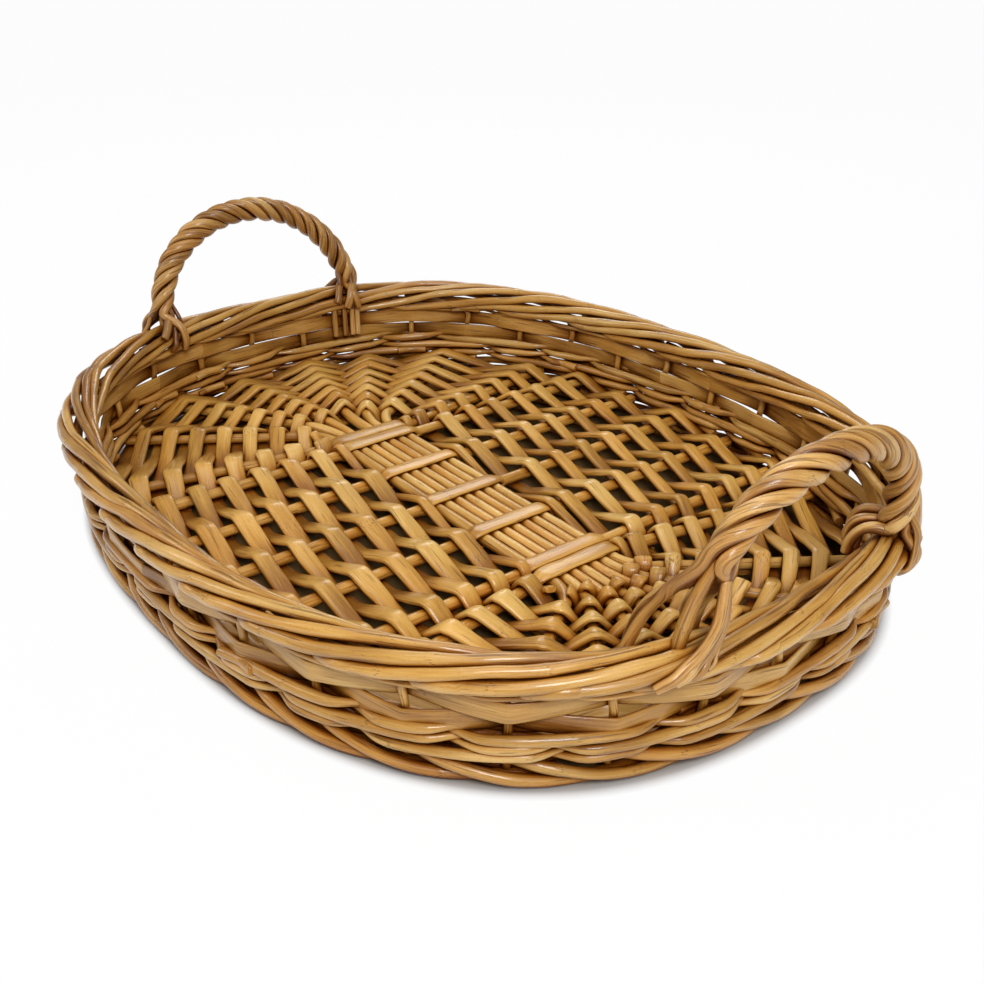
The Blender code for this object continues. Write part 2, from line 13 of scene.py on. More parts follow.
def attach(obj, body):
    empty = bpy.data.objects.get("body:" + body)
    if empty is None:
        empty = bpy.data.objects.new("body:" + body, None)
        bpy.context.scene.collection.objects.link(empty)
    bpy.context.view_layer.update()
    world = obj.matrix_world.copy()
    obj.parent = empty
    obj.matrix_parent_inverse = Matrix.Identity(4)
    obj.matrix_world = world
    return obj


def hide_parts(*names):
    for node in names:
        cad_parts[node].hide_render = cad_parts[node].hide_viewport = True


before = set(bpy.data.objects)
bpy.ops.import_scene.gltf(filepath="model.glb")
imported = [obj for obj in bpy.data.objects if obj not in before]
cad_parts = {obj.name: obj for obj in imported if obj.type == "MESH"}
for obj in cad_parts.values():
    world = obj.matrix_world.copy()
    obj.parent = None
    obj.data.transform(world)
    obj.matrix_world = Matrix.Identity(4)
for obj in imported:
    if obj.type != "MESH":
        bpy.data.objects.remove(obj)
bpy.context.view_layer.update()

# Wall oval
HALF_LENGTH = 0.236
HALF_WIDTH = 0.194
OVAL_POWER = 2.45
OVAL_SAMPLES = 2880
WALL_FLARE = 0.005
STAKE_COUNT = 33
HALVINGS = 50

# Stakes and the border rods that their tops become
STAKE_RADIUS = 0.002
STAKE_HEIGHTS = (0.0086, 0.022, 0.036, 0.0475)
BORDER_LEVEL = 0.05793
BORDER_LAY = 0.0081
BORDER_RADIUS = 0.0027
BORDER_START_ANGLE = 110.0
BORDER_TURN_PER_BAY = 44.0
BORDER_BAYS = 5.5
BORDER_STEP = 0.25
POINT_STEPS = 5
BORDER_START_SHARE = 0.35
TUCK_BAYS = 0.7
CORE_BAYS = 1.5
CORE_LAY = 0.0029

# Rows of the wall
# Node, seed, row of the pattern, shortest and longest length of a rod, level, radius, swing, rise
WALES = (
    ("bottom_wale_1", 81, 0, 4, 9, 0.0168, 0.0028, 0.0047, 0.0013),
    ("bottom_wale_2", 82, 1, 4, 9, 0.0221, 0.0028, 0.0047, 0.0013),
    ("bottom_wale_3", 83, 2, 4, 9, 0.0274, 0.0028, 0.0047, 0.0013),
    ("top_wale", 91, 1, 5, 11, 0.0497, 0.0017, 0.0038, 0.0011),
)
WALE_END_REACH = 0.0022
WALE_OVERLAP = 0.25
WALE_BEND_BAYS = 0.34
WALE_THINNING = 0.34
WALE_THIN_BAYS = 0.26
BAND_LEVELS = (0.0322, 0.0427)
BAND_HEIGHT = 0.0106
BAND_THICKNESS = 0.0019
BAND_SWING = 0.0038
BAND_DIP = 0.0014
BAND_FOLD = 0.05

# Short rods of the foot: place in bays, reach out and height along each of them
FOOT_RADIUS = 0.003
FOOT_THINNING = 0.2
FOOT_PLACES = np.array([-0.3, 0.05, 0.4, 0.8, 1.15, 1.5, 1.9, 2.3, 2.6])
FOOT_REACHES = np.array([-0.0052, -0.001, 0.0034, 0.0054, 0.0052, 0.0036, 0.0008, -0.0022, -0.0044])
FOOT_HEIGHTS = np.array([0.0128, 0.0122, 0.0104, 0.0074, 0.0049, 0.0036, 0.0032, 0.0034, 0.004])

# Sticks of the base
STICK_LEVEL = 0.0114
LONG_STICKS = 7
MIDDLE_STICK = 3
LONG_RADIUS = 0.0035
FAN_RADIUS = 0.003
BUNDLE_PITCH = 0.0073
BUNDLE_HALF = 0.0254
# Angles of the fan sticks from the outermost in, on the left side and on the right one
FAN_ANGLES = {-1: (57.0, 34.5, 13.5), 1: (57.0, 38.0, 19.0)}
FAN_X = 0.105
CROSS_PLACES = (
    (-0.1011, -0.028), (-0.0895, 0.0), (-0.0445, 0.0), (0.0, 0.0),
    (0.0445, 0.0), (0.0895, 0.0), (0.1011, 0.028),
)
CROSS_RADIUS = 0.0033
END_INSET = 0.0023
# A long stick bends between two distances from the corner of its fan, and then runs straight
BEND_BEFORE = 0.01
BEND_AFTER = 0.009
BEND_SWELL = 0.0002
FAN_BEGIN = 0.02
FAN_SHARES = (0, 0.3, 0.65, 1)
BUNDLE_BEGIN = 0.015
BUNDLE_END_X = 0.08
BUNDLE_POINTS = 7
# The split of the cross sticks: half length, softness of its ends, width and thickness of a half
EYE_HALF = 0.0275
EYE_SOFTNESS = 0.0013
EYE_SHOULDER = 0.0297
SPLIT_WIDTH = 0.0116
SPLIT_THICKNESS = 0.0014
SPLIT_GAP = 0.0004
# Start, end and number of sample places along a cross stick
SPLIT_SAMPLES = ((-0.034, -0.021, 9), (-0.018, 0.018, 13), (0.021, 0.034, 9))
ARM_FROM = 0.036
ARM_SAMPLES = 26

# Weave of the base
FIRST_ROW_OFFSET = 0.0104
FAN_FIRST_ROW = {-1: 0.033, 1: 0.037}
LAST_ROW_INSET = 0.0142
EDGE_ROW_INSET = 0.0072
EDGE_EASE = 8
BASE_TURNS = 13
SLAT_WIDTH = 0.0108
SLAT_THICKNESS = 0.0034
SLAT_FOLD = 0.0039
SLAT_GAP = 0.0013
STEEP_SHARE = 0.78
# A slat is wider on the near side, and gets narrower from a place across the tray on
NEAR_WIDTH_SHARE = 1.07
FAR_WIDTH_LOSS = 0.26
FAR_BEGIN = -0.03
FAR_SPAN = 0.12
INNER_ROW_OFFSET = 0.0047
INNER_ROW_WIDTH = 0.0062
INNER_ROW_TAIL = (0.012, 0.033)

# Handles
HANDLE_RISE = 0.0763
HANDLE_POWER = 0.9
CORE_RADIUS = 0.003
STRANDS = 4
STRAND_REACH = 0.0051
STRAND_WIDTH = 0.0068
STRAND_THICKNESS = 0.0062
STRAND_SIDES = 24
TAIL_REACH = 0.013
TAIL_STEPS = 10
CUT_END_SHARE = 0.66
CUT_END_STEPS = 8
SEAM_PITCH = 0.25
# Side, pitch of the twist, far and near half spread, lean, bulge, squareness and skew of each arch
ARCHES = {
    "left": (-1, 0.0465, 0.0735, 0.0785, 0.155, 0.0, 1.0, -0.085),
    "right": (1, 0.0575, 0.0735, 0.0735, 0.114, 0.035, 0.9, 0.0),
}
# How strands leave the rope: how late they turn over the border, how soon they part, how late
# they come down, the twist of each pair in degrees, rounds of smoothing, and the height over
# the border where the thin tips leave
SPLAYED = (1.0, 2.0, 0.7, 0.0, 4, 0.0135)
PAIRED = (2.6, 3.0, 1.0, 120.0, 24, 0.0255)
# Far and near foot of each handle: height above the border at which the rope opens, its manner,
# then the strands from the outermost in, with place along the wall, angle around the border
# (outside positive), height over it at the end and on the way, and thickness at the end. Last
# the thin tips: start and end along the wall, last angle, radius.
FEET = {
    "left": (
        (0.017, SPLAYED,
         ((0.016, 70, 0, 0, 0.9), (0.016, -76, 0, 0, 0.66),
          (0.008, -94, 0, 0, 0.8), (-0.001, -96, 0, 0, 0.74)),
         ((0.01, 0.013, -84, 0.0017), (0.002, 0.003, -100, 0.0018))),
        (0.022, SPLAYED,
         ((0.009, 108, 0, 0, 0.72), (0.004, 100, 0, 0, 0.74),
          (0.012, -58, 0, 0, 0.8), (-0.004, -106, 0, 0.001, 0.7)),
         ((-0.003, 0.006, -112, 0.0018), (-0.006, -0.008, -104, 0.0015),
          (0.001, 0.013, 96, 0.0016))),
    ),
    "right": (
        (0.017, SPLAYED,
         ((0.003, 142, 0, -0.002, 0.74), (-0.011, -92, 0.002, 0.001, 0.84),
          (0.004, -95, 0.003, 0.006, 0.8), (-0.004, -93, 0.003, 0.004, 0.84)),
         ((0.01, 0.011, 78, 0.0017), (-0.002, -0.001, 138, 0.0021))),
        (0.05, PAIRED,
         ((0.021, -108, 0, 0, 0.9), (0.012, -108, 0, 0, 0.9),
          (-0.01, -92, 0.004, 0, 0.74), (-0.017, -92, 0.004, 0, 0.66)),
         ((0.0145, -0.013, 96, 0.0025), (0.015, -0.005, 92, 0.0023),
          (0.0155, 0.002, 88, 0.002), (0.016, 0.009, 78, 0.0012))),
    ),
}
# Cut ends of rods inside the far feet: place along the wall, reach out and height at both ends
CUT_ENDS = {
    "left": tuple(((place, -0.0070, 0.055), (place, -0.0074, 0.034))
                  for place in (0.017, 0.009, 0.003, -0.001)),
    "right": (((0.008, -0.0149, 0.0592), (-0.028, -0.0108, 0.0517)),),
}

# Outlines, ends and surface of the swept forms
ROD_SIDES = 12
SLAT_SIDES = 14
SLAT_ABOVE = 0.62
SLAT_BELOW = 0.38
END_SHARES = (0.3, 0.3)
CUT_RING_ANGLES = (35.0, 62.0, 80.0)
CUT_SHRINK = 0.22
KNOT_REACH = 0.0021
GRAIN_STEP = 0.37
GRAIN_WRAP = 7.0
TONE_SPREAD = 0.16
# Wavelength and strength of each part of an uneven line
UNEVEN_PARTS = ((1.0, 0.6), (0.53, 0.3), (0.29, 0.15))


# Small helpers
def unit(vectors):
    """The same vectors at length one."""
    return vectors / np.maximum(np.linalg.norm(vectors, axis=-1, keepdims=True), 1e-9)


def run_of(path):
    """Unit direction of a path at each of its points."""
    return unit(np.gradient(path, axis=0))


def walk_along(path):
    """Distance walked along a path."""
    steps = np.linalg.norm(np.diff(path, axis=0), axis=1)
    return np.concatenate([[0.0], np.cumsum(steps)])


def points_at(places, along, path):
    """Points of a path at other distances along it."""
    return np.stack([np.interp(places, along, axis) for axis in path.T], axis=-1)


def with_ends(points):
    """The points with one more in line at both ends."""
    return np.vstack([2 * points[:1] - points[1:2], points, 2 * points[-1:] - points[-2:-1]])


def smooth_path(points, per_segment):
    """A smooth line through the points."""
    points = np.asarray(points, float)
    row = with_ends(points)
    shares = np.arange(per_segment) / per_segment
    parts = [curve_between(row[index:index + 4], shares) for index in range(len(points) - 1)]
    return np.vstack([*parts, points[-1:]])


def curve_between(row, shares):
    """Points between the second and third of four neighbours."""
    a, b, c, d = row
    t = shares[:, None]
    bend = 2 * a - 5 * b + 4 * c - d
    return 0.5 * (2 * b + (c - a) * t + bend * t ** 2 + (3 * b - a - 3 * c + d) * t ** 3)


def fold_steps(edge, between):
    """Sample shares between two folds, closer together near them."""
    near = np.array([0.0, 0.3, 0.6]) * edge
    middle = np.linspace(edge, 1 - edge, between)
    return np.concatenate([near, middle, 1 - near[:0:-1]])


def fold_rise(shares, edge):
    """Rise from 0 to 1 between two folds: straight, with a short bend at both ends."""
    slope = 1 / (1 - edge)
    start = slope * shares ** 2 / (2 * edge)
    finish = 1 - slope * (1 - shares) ** 2 / (2 * edge)
    straight = slope * (shares - edge / 2)
    return np.where(shares < edge, start, np.where(shares > 1 - edge, finish, straight))


def circle(count, shift=0.0):
    """Evenly spaced angles around an outline."""
    return (np.arange(count) + shift) / count * 2 * math.pi


def squared(values, power):
    """A power of the values that keeps their signs."""
    return np.sign(values) * np.abs(values) ** power


def wave(rng, along, wavelength):
    """A smooth uneven line between about -1 and 1."""
    total = np.zeros_like(along)
    for octave, strength in UNEVEN_PARTS:
        phase = rng.uniform(0, 2 * math.pi)
        stretch = rng.uniform(0.85, 1.15)
        total += strength * np.sin(2 * math.pi * along / (wavelength * octave * stretch) + phase)
    return total


def stretches(rng, start, last, shortest, longest, least, odd=False):
    """Begin and end of each length of rod in a row, with no short rest."""
    while start < last:
        stop = start + int(rng.integers(shortest, longest))
        if odd:
            stop += (stop + 1) % 2
        if last - stop < least:
            stop = last
        yield start, stop
        start = stop


class WallOval:
    """The rounded oval of the wall, by distance around it from the middle of one side."""

    def __init__(self):
        angles = np.linspace(-math.pi / 2, 3 * math.pi / 2, OVAL_SAMPLES + 1)
        power = 2 / OVAL_POWER
        plan = HALF_LENGTH * squared(np.cos(angles), power), HALF_WIDTH * squared(np.sin(angles), power)
        self.points = np.stack(plan, axis=1)
        self.distance = walk_along(self.points)
        self.length = float(self.distance[-1])

    def plan(self, along):
        """Plan positions at distances along the wall."""
        return points_at(np.asarray(along, float) % self.length, self.distance, self.points)

    def outward(self, along):
        """Unit plan directions out of the tray, square to the wall."""
        reach = self.length / 360
        run = unit(self.plan(np.asarray(along) + reach) - self.plan(np.asarray(along) - reach))
        return np.stack([run[..., 1], -run[..., 0]], axis=-1)

    def at(self, along, out, height):
        """World points: distances along the wall, out from its middle, and heights."""
        along, out, height = np.broadcast_arrays(*(np.asarray(v, float) for v in (along, out, height)))
        lean = WALL_FLARE * height / BORDER_LEVEL
        plan = self.plan(along) + self.outward(along) * (out + lean)[..., None]
        return np.concatenate([plan, height[..., None]], axis=-1)

    def round_border(self, along, reach, turn):
        """World points around the border's middle: a turn of 0 is up, a quarter is out."""
        return self.at(along, reach * np.sin(turn), BORDER_LEVEL + reach * np.cos(turn))

    def along_of_y(self, target):
        """Distance along the +X end of the wall where the border's middle is at this Y."""
        tries = np.linspace(0, self.length / 2, 4001)
        heights = self.at(tries, 0.0, BORDER_LEVEL)[:, 1]
        return float(np.interp(target, heights, tries))


OVAL = WallOval()
BAY = OVAL.length / STAKE_COUNT


# Swept forms
class Piece:
    """Gathers swept forms and turns them into one mesh object."""

    def __init__(self):
        self.verts, self.faces, self.end_faces, self.grain, self.tint = [], [], [], [], []
        self.count = 0

    def sweep(self, path, hint, shape, tint, ends=END_SHARES):
        """Sweep a changing outline along a path.

        The hint is where the outline's second axis points. The ends say how far each
        cut end stands out, as a share of its half size.
        """
        row = with_ends(path)
        tangent = unit(row[2:] - row[:-2])
        hint = np.broadcast_to(np.asarray(hint, float), path.shape)
        up = unit(hint - tangent * np.sum(hint * tangent, axis=1, keepdims=True))
        path, up, tangent, shape, tint = with_cut_ends(ends, path, up, tangent, shape, tint)
        side = np.cross(up, tangent)
        rings = path[:, None, :] + side[:, None, :] * shape[..., :1] + up[:, None, :] * shape[..., 1:2]
        count, around = shape.shape[:2]
        walked = walk_along(path) + self.count * GRAIN_STEP % GRAIN_WRAP
        walked = np.broadcast_to(walked[:, None, None], (count, around, 1))
        self.verts.append(rings.reshape(-1, 3))
        self.grain.append(np.concatenate([shape, walked], axis=2).reshape(-1, 3))
        if tint.ndim == 2:
            tint = tint[:, None, :]
        self.tint.append(np.broadcast_to(tint, (count, around, 3)).reshape(-1, 3))
        index = self.count + np.arange(count * around).reshape(count, around)
        after = np.roll(index, -1, axis=1)
        quads = np.stack([index[:-1], after[:-1], after[1:], index[1:]], axis=-1).reshape(-1, 4)
        self.faces += quads.tolist()
        self.end_faces += [index[0][::-1].tolist(), index[-1].tolist()]
        self.count += count * around

    def build(self, name, material):
        """One mesh object of all the swept forms."""
        mesh = bpy.data.meshes.new(name)
        mesh.from_pydata(np.vstack(self.verts).tolist(), [], self.faces + self.end_faces)
        smooth = np.ones(len(mesh.polygons), bool)
        smooth[len(self.faces):] = False
        mesh.polygons.foreach_set("use_smooth", smooth)
        grain = mesh.attributes.new("grain", "FLOAT_VECTOR", "POINT")
        grain.data.foreach_set("vector", np.vstack(self.grain).ravel())
        tint = np.vstack(self.tint)
        tint = np.hstack([tint, np.ones((len(tint), 1))])
        colour = mesh.attributes.new("tint", "FLOAT_COLOR", "POINT")
        colour.data.foreach_set("color", tint.ravel())
        mesh.materials.append(material)
        mesh.update()
        return new_object(name, mesh)


def new_object(name, data):
    """An object in the scene."""
    obj = bpy.data.objects.new(name, data)
    bpy.context.scene.collection.objects.link(obj)
    return obj


def with_cut_ends(ends, path, up, tangent, shape, tint):
    """Carry both ends of a sweep on by rings that shrink a little, as at a cut."""
    steps = np.radians(CUT_RING_ANGLES)
    shrunk = (1 - CUT_SHRINK * (1 - np.cos(steps)))[:, None, None]
    rows = (path, up, tangent, shape, tint)
    parts = []
    for end, way in ((0, -1), (-1, 1)):
        size = np.abs(shape[end]).max(axis=0).min() * ends[end]
        more = [np.repeat(row[end][None], len(steps), axis=0) for row in rows]
        more[0] = path[end] + way * tangent[end] * (size * np.sin(steps))[:, None]
        more[3] = more[3] * shrunk
        parts.append([row[::way] for row in more])
    return [np.concatenate(row) for row in zip(parts[0], rows, parts[1])]


def knotted(rng, along, spacing):
    """Strength of the small knots along a rod."""
    strength = np.zeros_like(along)
    place = rng.uniform(0.2, 1.0) * spacing
    while place < along[-1]:
        strength = np.maximum(strength, np.exp(-((along - place) / KNOT_REACH) ** 2))
        place += spacing * rng.uniform(0.55, 1.6)
    return strength


def tint_of(rng, along, knots, tone=None):
    """Tone, hue and knot values along a rod."""
    tone = rng.uniform(0.28, 0.72) if tone is None else tone
    hue = rng.uniform(0.2, 0.8)
    tones = np.clip(tone + TONE_SPREAD * wave(rng, along, 0.11), 0, 1)
    hues = np.clip(hue + 0.15 * wave(rng, along, 0.2), 0, 1)
    return np.stack([tones, hues, knots], axis=1)


def rod(piece, rng, path, hint, radius, sides=ROD_SIDES, ends=END_SHARES, tone=None, uneven=0.05):
    """A round, slightly uneven willow rod with small knots."""
    along = walk_along(path)
    knots = knotted(rng, along, 0.06)
    radius = radius * (1 + uneven * wave(rng, along, 0.06) + 0.06 * knots)
    angles = circle(sides)
    wide = radius * (1 + 0.04 * wave(rng, along, 0.045))
    shape = np.stack([wide[:, None] * np.cos(angles), radius[:, None] * np.sin(angles)], axis=-1)
    piece.sweep(path, hint, shape, tint_of(rng, along, knots, tone), ends)


def slat_outline(width, thickness, roundness=0.62):
    """Flat below and rounded above, as wide and thick as the slat is at each place."""
    angles = circle(SLAT_SIDES, 0.5)
    across = squared(np.cos(angles), 0.62)
    sines = np.sin(angles)
    above = SLAT_ABOVE * np.abs(sines) ** roundness
    heights = np.where(sines > 0, above, -SLAT_BELOW * np.abs(sines) ** 0.4)
    thickness = np.broadcast_to(np.asarray(thickness, float), width.shape)
    return np.stack([width[:, None] / 2 * across, thickness[:, None] * heights], axis=-1)


def dress(piece, node, slot):
    """Make the object, let it ride on the tray and stand for its node."""
    obj = piece.build(f"{node}_willow", MATERIALS[slot])
    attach(obj, "root")
    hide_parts(node)


# Materials
def new_material(name):
    """A material with its tree of nodes and its shader."""
    material = bpy.data.materials.new(name)
    material.use_nodes = True
    return material, material.node_tree, material.node_tree.nodes["Principled BSDF"]


def put(socket, value):
    """Link a socket to an output, or give it a value."""
    if hasattr(value, "is_output"):
        socket.id_data.links.new(value, socket)
    else:
        socket.default_value = value


def fill(node, **inputs):
    """Give a node its inputs, by the names of its sockets."""
    for key, value in inputs.items():
        put(node.inputs[key.replace("_", " ")], value)
    return node


def add_node(tree, kind, **inputs):
    """A shader node with its inputs."""
    return fill(tree.nodes.new(f"ShaderNode{kind}"), **inputs)


def maths(operation, *values, clamp=False):
    """A Math node's output. The first value is a socket."""
    node = add_node(values[0].id_data, "Math")
    node.operation = operation
    node.use_clamp = clamp
    for socket, value in zip(node.inputs, values):
        put(socket, value)
    return node.outputs[0]


def shifted(value, gain, offset, clamp=True):
    """A value times a gain plus an offset."""
    return maths("MULTIPLY_ADD", value, gain, offset, clamp=clamp)


def stretched(vector, scale):
    """A coordinate scaled differently along its axes."""
    node = add_node(vector.id_data, "VectorMath")
    node.operation = "MULTIPLY"
    put(node.inputs[0], vector)
    put(node.inputs[1], scale)
    return node.outputs[0]


def noise(vector, scale, detail, roughness=0.55):
    """Noise on a stretched coordinate."""
    node = add_node(vector.id_data, "TexNoise", Vector=stretched(vector, scale),
                    Scale=1.0, Detail=detail, Roughness=roughness)
    return node.outputs["Fac"]


def mix_colour(fac, first, second, blend="MIX"):
    """A colour mix's output. The first colour is a socket."""
    node = add_node(first.id_data, "Mix")
    node.data_type = "RGBA"
    node.blend_type = blend
    for number, value in ((0, fac), (6, first), (7, second)):
        put(node.inputs[number], value)
    return node.outputs[2]


def ramp(fac, stops):
    """A colour ramp's output."""
    node = add_node(fac.id_data, "ValToRGB", Fac=fac)
    elements = node.color_ramp.elements
    while len(elements) < len(stops):
        elements.new(0.5)
    for element, (place, colour) in zip(elements, stops):
        element.position = place
        element.color = (*colour, 1.0)
    return node.outputs[0]


# Colour factor that warms a rod, the colours of cracks and specks, and the ramp of stain and painted shade
# between rods
WARMTH = (1.10, 0.93, 0.74, 1.0)
CRACK_COLOUR = (0.13, 0.046, 0.008, 1.0)
SPECK_COLOUR = (0.085, 0.027, 0.004, 1.0)
STAIN_AND_SHADE = ((0.0, (0.12, 0.034, 0.003)), (0.28, (0.29, 0.120, 0.020)), (0.56, (0.71, 0.51, 0.27)),
         (0.86, (1, 1, 1)))
TONE_STOPS = (0.08, 0.5, 0.95)
# Scale of each texture across and along a rod
FIBRE_SCALE = (1500, 1500, 55)
BLOTCH_SCALE = (190, 190, 26)
STREAK_SCALE = (900, 900, 38)
SPECK_SCALE = (300, 300, 80)
CRACK_SHARPNESS = 14.0
STAIN_AND_SHADE_SAMPLES = 6
RELIEF = 0.0003


def willow(name, colours, gloss, cracks, coat, coat_roughness, stain_and_shade_reach):
    """Varnished willow: fibres, blotches, knots, nicks, and dark stain with painted shade where rods meet.

    The three colours go from dark to light. Cracks is the level above which streaks show.
    """
    material, tree, shader = new_material(name)
    grain, tint = (add_node(tree, "Attribute") for _ in range(2))
    grain.attribute_name, tint.attribute_name = "grain", "tint"
    grain = grain.outputs["Vector"]
    tone, hue, knot = add_node(tree, "SeparateColor", Color=tint.outputs["Color"]).outputs
    fibre = noise(grain, FIBRE_SCALE, 4.0)
    blotch = noise(grain, BLOTCH_SCALE, 2.0)
    streak = noise(grain, STREAK_SCALE, 2.0, 0.4)
    level = maths("ADD", shifted(fibre, 0.75, -0.375, False), tone)
    level = maths("ADD", shifted(blotch, 0.7, -0.35, False), level, clamp=True)
    colour = ramp(level, tuple(zip(TONE_STOPS, colours)))
    colour = mix_colour(hue, colour, mix_colour(1.0, colour, WARMTH, "MULTIPLY"))
    lines = shifted(streak, CRACK_SHARPNESS, -CRACK_SHARPNESS * cracks)
    colour = mix_colour(maths("MULTIPLY", lines, 0.65), colour, CRACK_COLOUR)
    speck = add_node(tree, "TexVoronoi", Vector=stretched(grain, SPECK_SCALE))
    speck = speck.outputs["Distance"]
    at_knot = maths("MULTIPLY", knot, shifted(speck, -9.0, 3.2))
    specks = maths("MAXIMUM", shifted(speck, -15.0, 2.2), at_knot)
    colour = mix_colour(maths("MULTIPLY", specks, 0.75), colour, SPECK_COLOUR)
    # Stain and painted shade: the colour darkens where other rods close in, by ambient occlusion. The same
    # occlusion dims specular and coat there, as painted shade on the reflections.
    shade = add_node(tree, "AmbientOcclusion", Distance=stain_and_shade_reach)
    shade.samples = STAIN_AND_SHADE_SAMPLES
    shade = shade.outputs["AO"]
    colour = mix_colour(1.0, colour, ramp(shade, STAIN_AND_SHADE), "MULTIPLY")
    open_share = shifted(shade, 1.7, -0.45)
    relief = maths("SUBTRACT", fibre, maths("MULTIPLY", lines, 0.6))
    relief = maths("SUBTRACT", relief, maths("MULTIPLY", specks, 0.5))
    bump = add_node(tree, "Bump", Strength=0.75, Distance=RELIEF, Height=relief)
    fill(shader, Base_Color=colour, Roughness=shifted(blotch, 0.24, gloss),
         Specular_IOR_Level=maths("MULTIPLY", open_share, 0.4),
         Coat_Weight=maths("MULTIPLY", open_share, coat),
         Coat_Roughness=coat_roughness, Normal=bump.outputs["Normal"])
    return material


# Colours, gloss, level of the cracks, coat, its roughness and the reach of the stain and painted shade for
# each slot
LOOKS = {
    "base_willow": (((0.28, 0.114, 0.013), (0.55, 0.297, 0.053), (0.75, 0.482, 0.138)),
                    0.28, 0.64, 0.42, 0.17, 0.009),
    "wall_willow": (((0.24, 0.102, 0.017), (0.48, 0.265, 0.056), (0.68, 0.45, 0.155)),
                    0.25, 0.63, 0.48, 0.14, 0.013),
    "border_willow": (((0.27, 0.117, 0.022), (0.53, 0.300, 0.067), (0.73, 0.50, 0.18)),
                      0.23, 0.635, 0.52, 0.13, 0.009),
    "handle_willow": (((0.18, 0.070, 0.013), (0.445, 0.240, 0.062), (0.69, 0.457, 0.175)),
                      0.29, 0.59, 0.34, 0.17, 0.010),
}
MATERIALS = {slot: willow(f"{slot}_scene", *look) for slot, look in LOOKS.items()}


# Base
def reach_of_ray(start, aim, inset):
    """How far a plan ray runs until it is this much inside the wall's oval."""
    low, high = 0.0, 0.5
    for _ in range(HALVINGS):
        middle = (low + high) / 2
        x, y = np.abs(start + aim * middle) / (HALF_LENGTH, HALF_WIDTH)
        if x ** OVAL_POWER + y ** OVAL_POWER < 1:
            low = middle
        else:
            high = middle
    gap = OVAL.points - (start + aim * low)
    nearest = OVAL.outward(OVAL.distance[np.argmin(np.sum(gap ** 2, axis=1))])
    return low - inset / max(float(np.dot(nearest, aim)), 0.3)


def fan_ray(index, side):
    """Start and direction of one end of a long stick."""
    offset = (index - MIDDLE_STICK) * BUNDLE_PITCH
    turn, bend = 0.0, FAN_X
    if index != MIDDLE_STICK:
        angle = FAN_ANGLES[side][min(index, LONG_STICKS - 1 - index)]
        turn = math.copysign(math.radians(angle), offset)
        bend = FAN_X + offset / math.tan(turn)
    return np.array([side * bend, offset]), np.array([side * math.cos(turn), math.sin(turn)])


def cross_arm(place, spread, side):
    """Start and direction of a cross stick's arm."""
    aim = unit(np.array([spread, side * (HALF_WIDTH - BUNDLE_HALF)]))
    return np.array([place, side * BUNDLE_HALF]), aim


def base_rungs():
    """First and last crossing, radius and edge place of each stick end, around the tray."""
    def cross(place, side):
        start, aim = cross_arm(*place, side)
        return start, aim, start + aim * FIRST_ROW_OFFSET, CROSS_RADIUS

    def fan(index, side):
        start, aim = fan_ray(index, side)
        return start, aim, (side * FAN_X, 0.0) + aim * FAN_FIRST_ROW[side], FAN_RADIUS

    arms = [cross(place, -1) for place in CROSS_PLACES] + [fan(index, 1) for index in range(LONG_STICKS)]
    arms += [cross(place, 1) for place in CROSS_PLACES[::-1]]
    arms += [fan(index, -1) for index in reversed(range(LONG_STICKS)) if index != MIDDLE_STICK]
    rungs = []
    for start, aim, first, radius in arms:
        last, edge = (start + aim * reach_of_ray(start, aim, inset)
                      for inset in (LAST_ROW_INSET, EDGE_ROW_INSET))
        rungs.append((first, last, radius, edge))
    return rungs


RUNGS = base_rungs()
TURN = len(RUNGS)
CROSSINGS = BASE_TURNS * TURN


def crossing_place(crossing):
    """Plan point of one crossing of the spiral weave."""
    first, last, _, edge = RUNGS[crossing % TURN]
    if crossing > CROSSINGS:
        return last + (edge - last) * min(1.0, (crossing - CROSSINGS) / EDGE_EASE)
    return first + (last - first) * (crossing / CROSSINGS)


def room_at(crossing):
    """Distance from a crossing to the lines of the next row beside it."""
    here = crossing_place(crossing)
    row = [crossing_place(crossing + TURN + step) for step in (-1, 0, 1)]
    rooms = []
    for start, end in zip(row, row[1:]):
        run = end - start
        across = np.array([run[1], -run[0]]) / np.linalg.norm(run)
        rooms.append(abs(float(np.dot(here - start, across))))
    return min(rooms)


def spiral_slat(piece, rng, begin, end, width_share):
    """One length of the spiral base weave."""
    places = np.array([crossing_place(c) for c in range(begin, end + 1)])
    widths, narrows, lifts = [], [], []
    for crossing, place in zip(range(begin, end + 1), places):
        room = room_at(crossing) if crossing < CROSSINGS else SLAT_WIDTH
        far = float(np.clip((place[1] - FAR_BEGIN) / FAR_SPAN, 0, 1))
        wanted = SLAT_WIDTH * width_share * (NEAR_WIDTH_SHARE - FAR_WIDTH_LOSS * far)
        widths.append(min(wanted, 1.3 * room))
        narrows.append(min(wanted, 1.1 * room))
        lift = RUNGS[crossing % TURN][2] + SLAT_THICKNESS / 2 + SLAT_GAP
        lifts.append((lift if crossing % 2 == 0 else -lift) * rng.uniform(0.93, 1.04))
    slat(piece, rng, places, widths, narrows, lifts)


def inner_slat(piece, rng, side):
    """The narrow slat between one side of the middle bundle and the spiral."""
    places = [(place, side * (BUNDLE_HALF + INNER_ROW_OFFSET)) for place, _ in CROSS_PLACES]
    tail, aside = FAN_X + INNER_ROW_TAIL[0], side * INNER_ROW_TAIL[1]
    places = np.array([(-tail, aside), *places, (tail, aside)])
    lift = CROSS_RADIUS + SLAT_THICKNESS / 2 + SLAT_GAP / 2
    lifts = [side * (lift if number % 2 else -lift) for number in range(len(places))]
    widths = np.full(len(places), INNER_ROW_WIDTH)
    slat(piece, rng, places, widths, widths, lifts)


def between(values, index, share):
    """A value on the way from one place of a row to the next."""
    return values[index] + (values[index + 1] - values[index]) * share


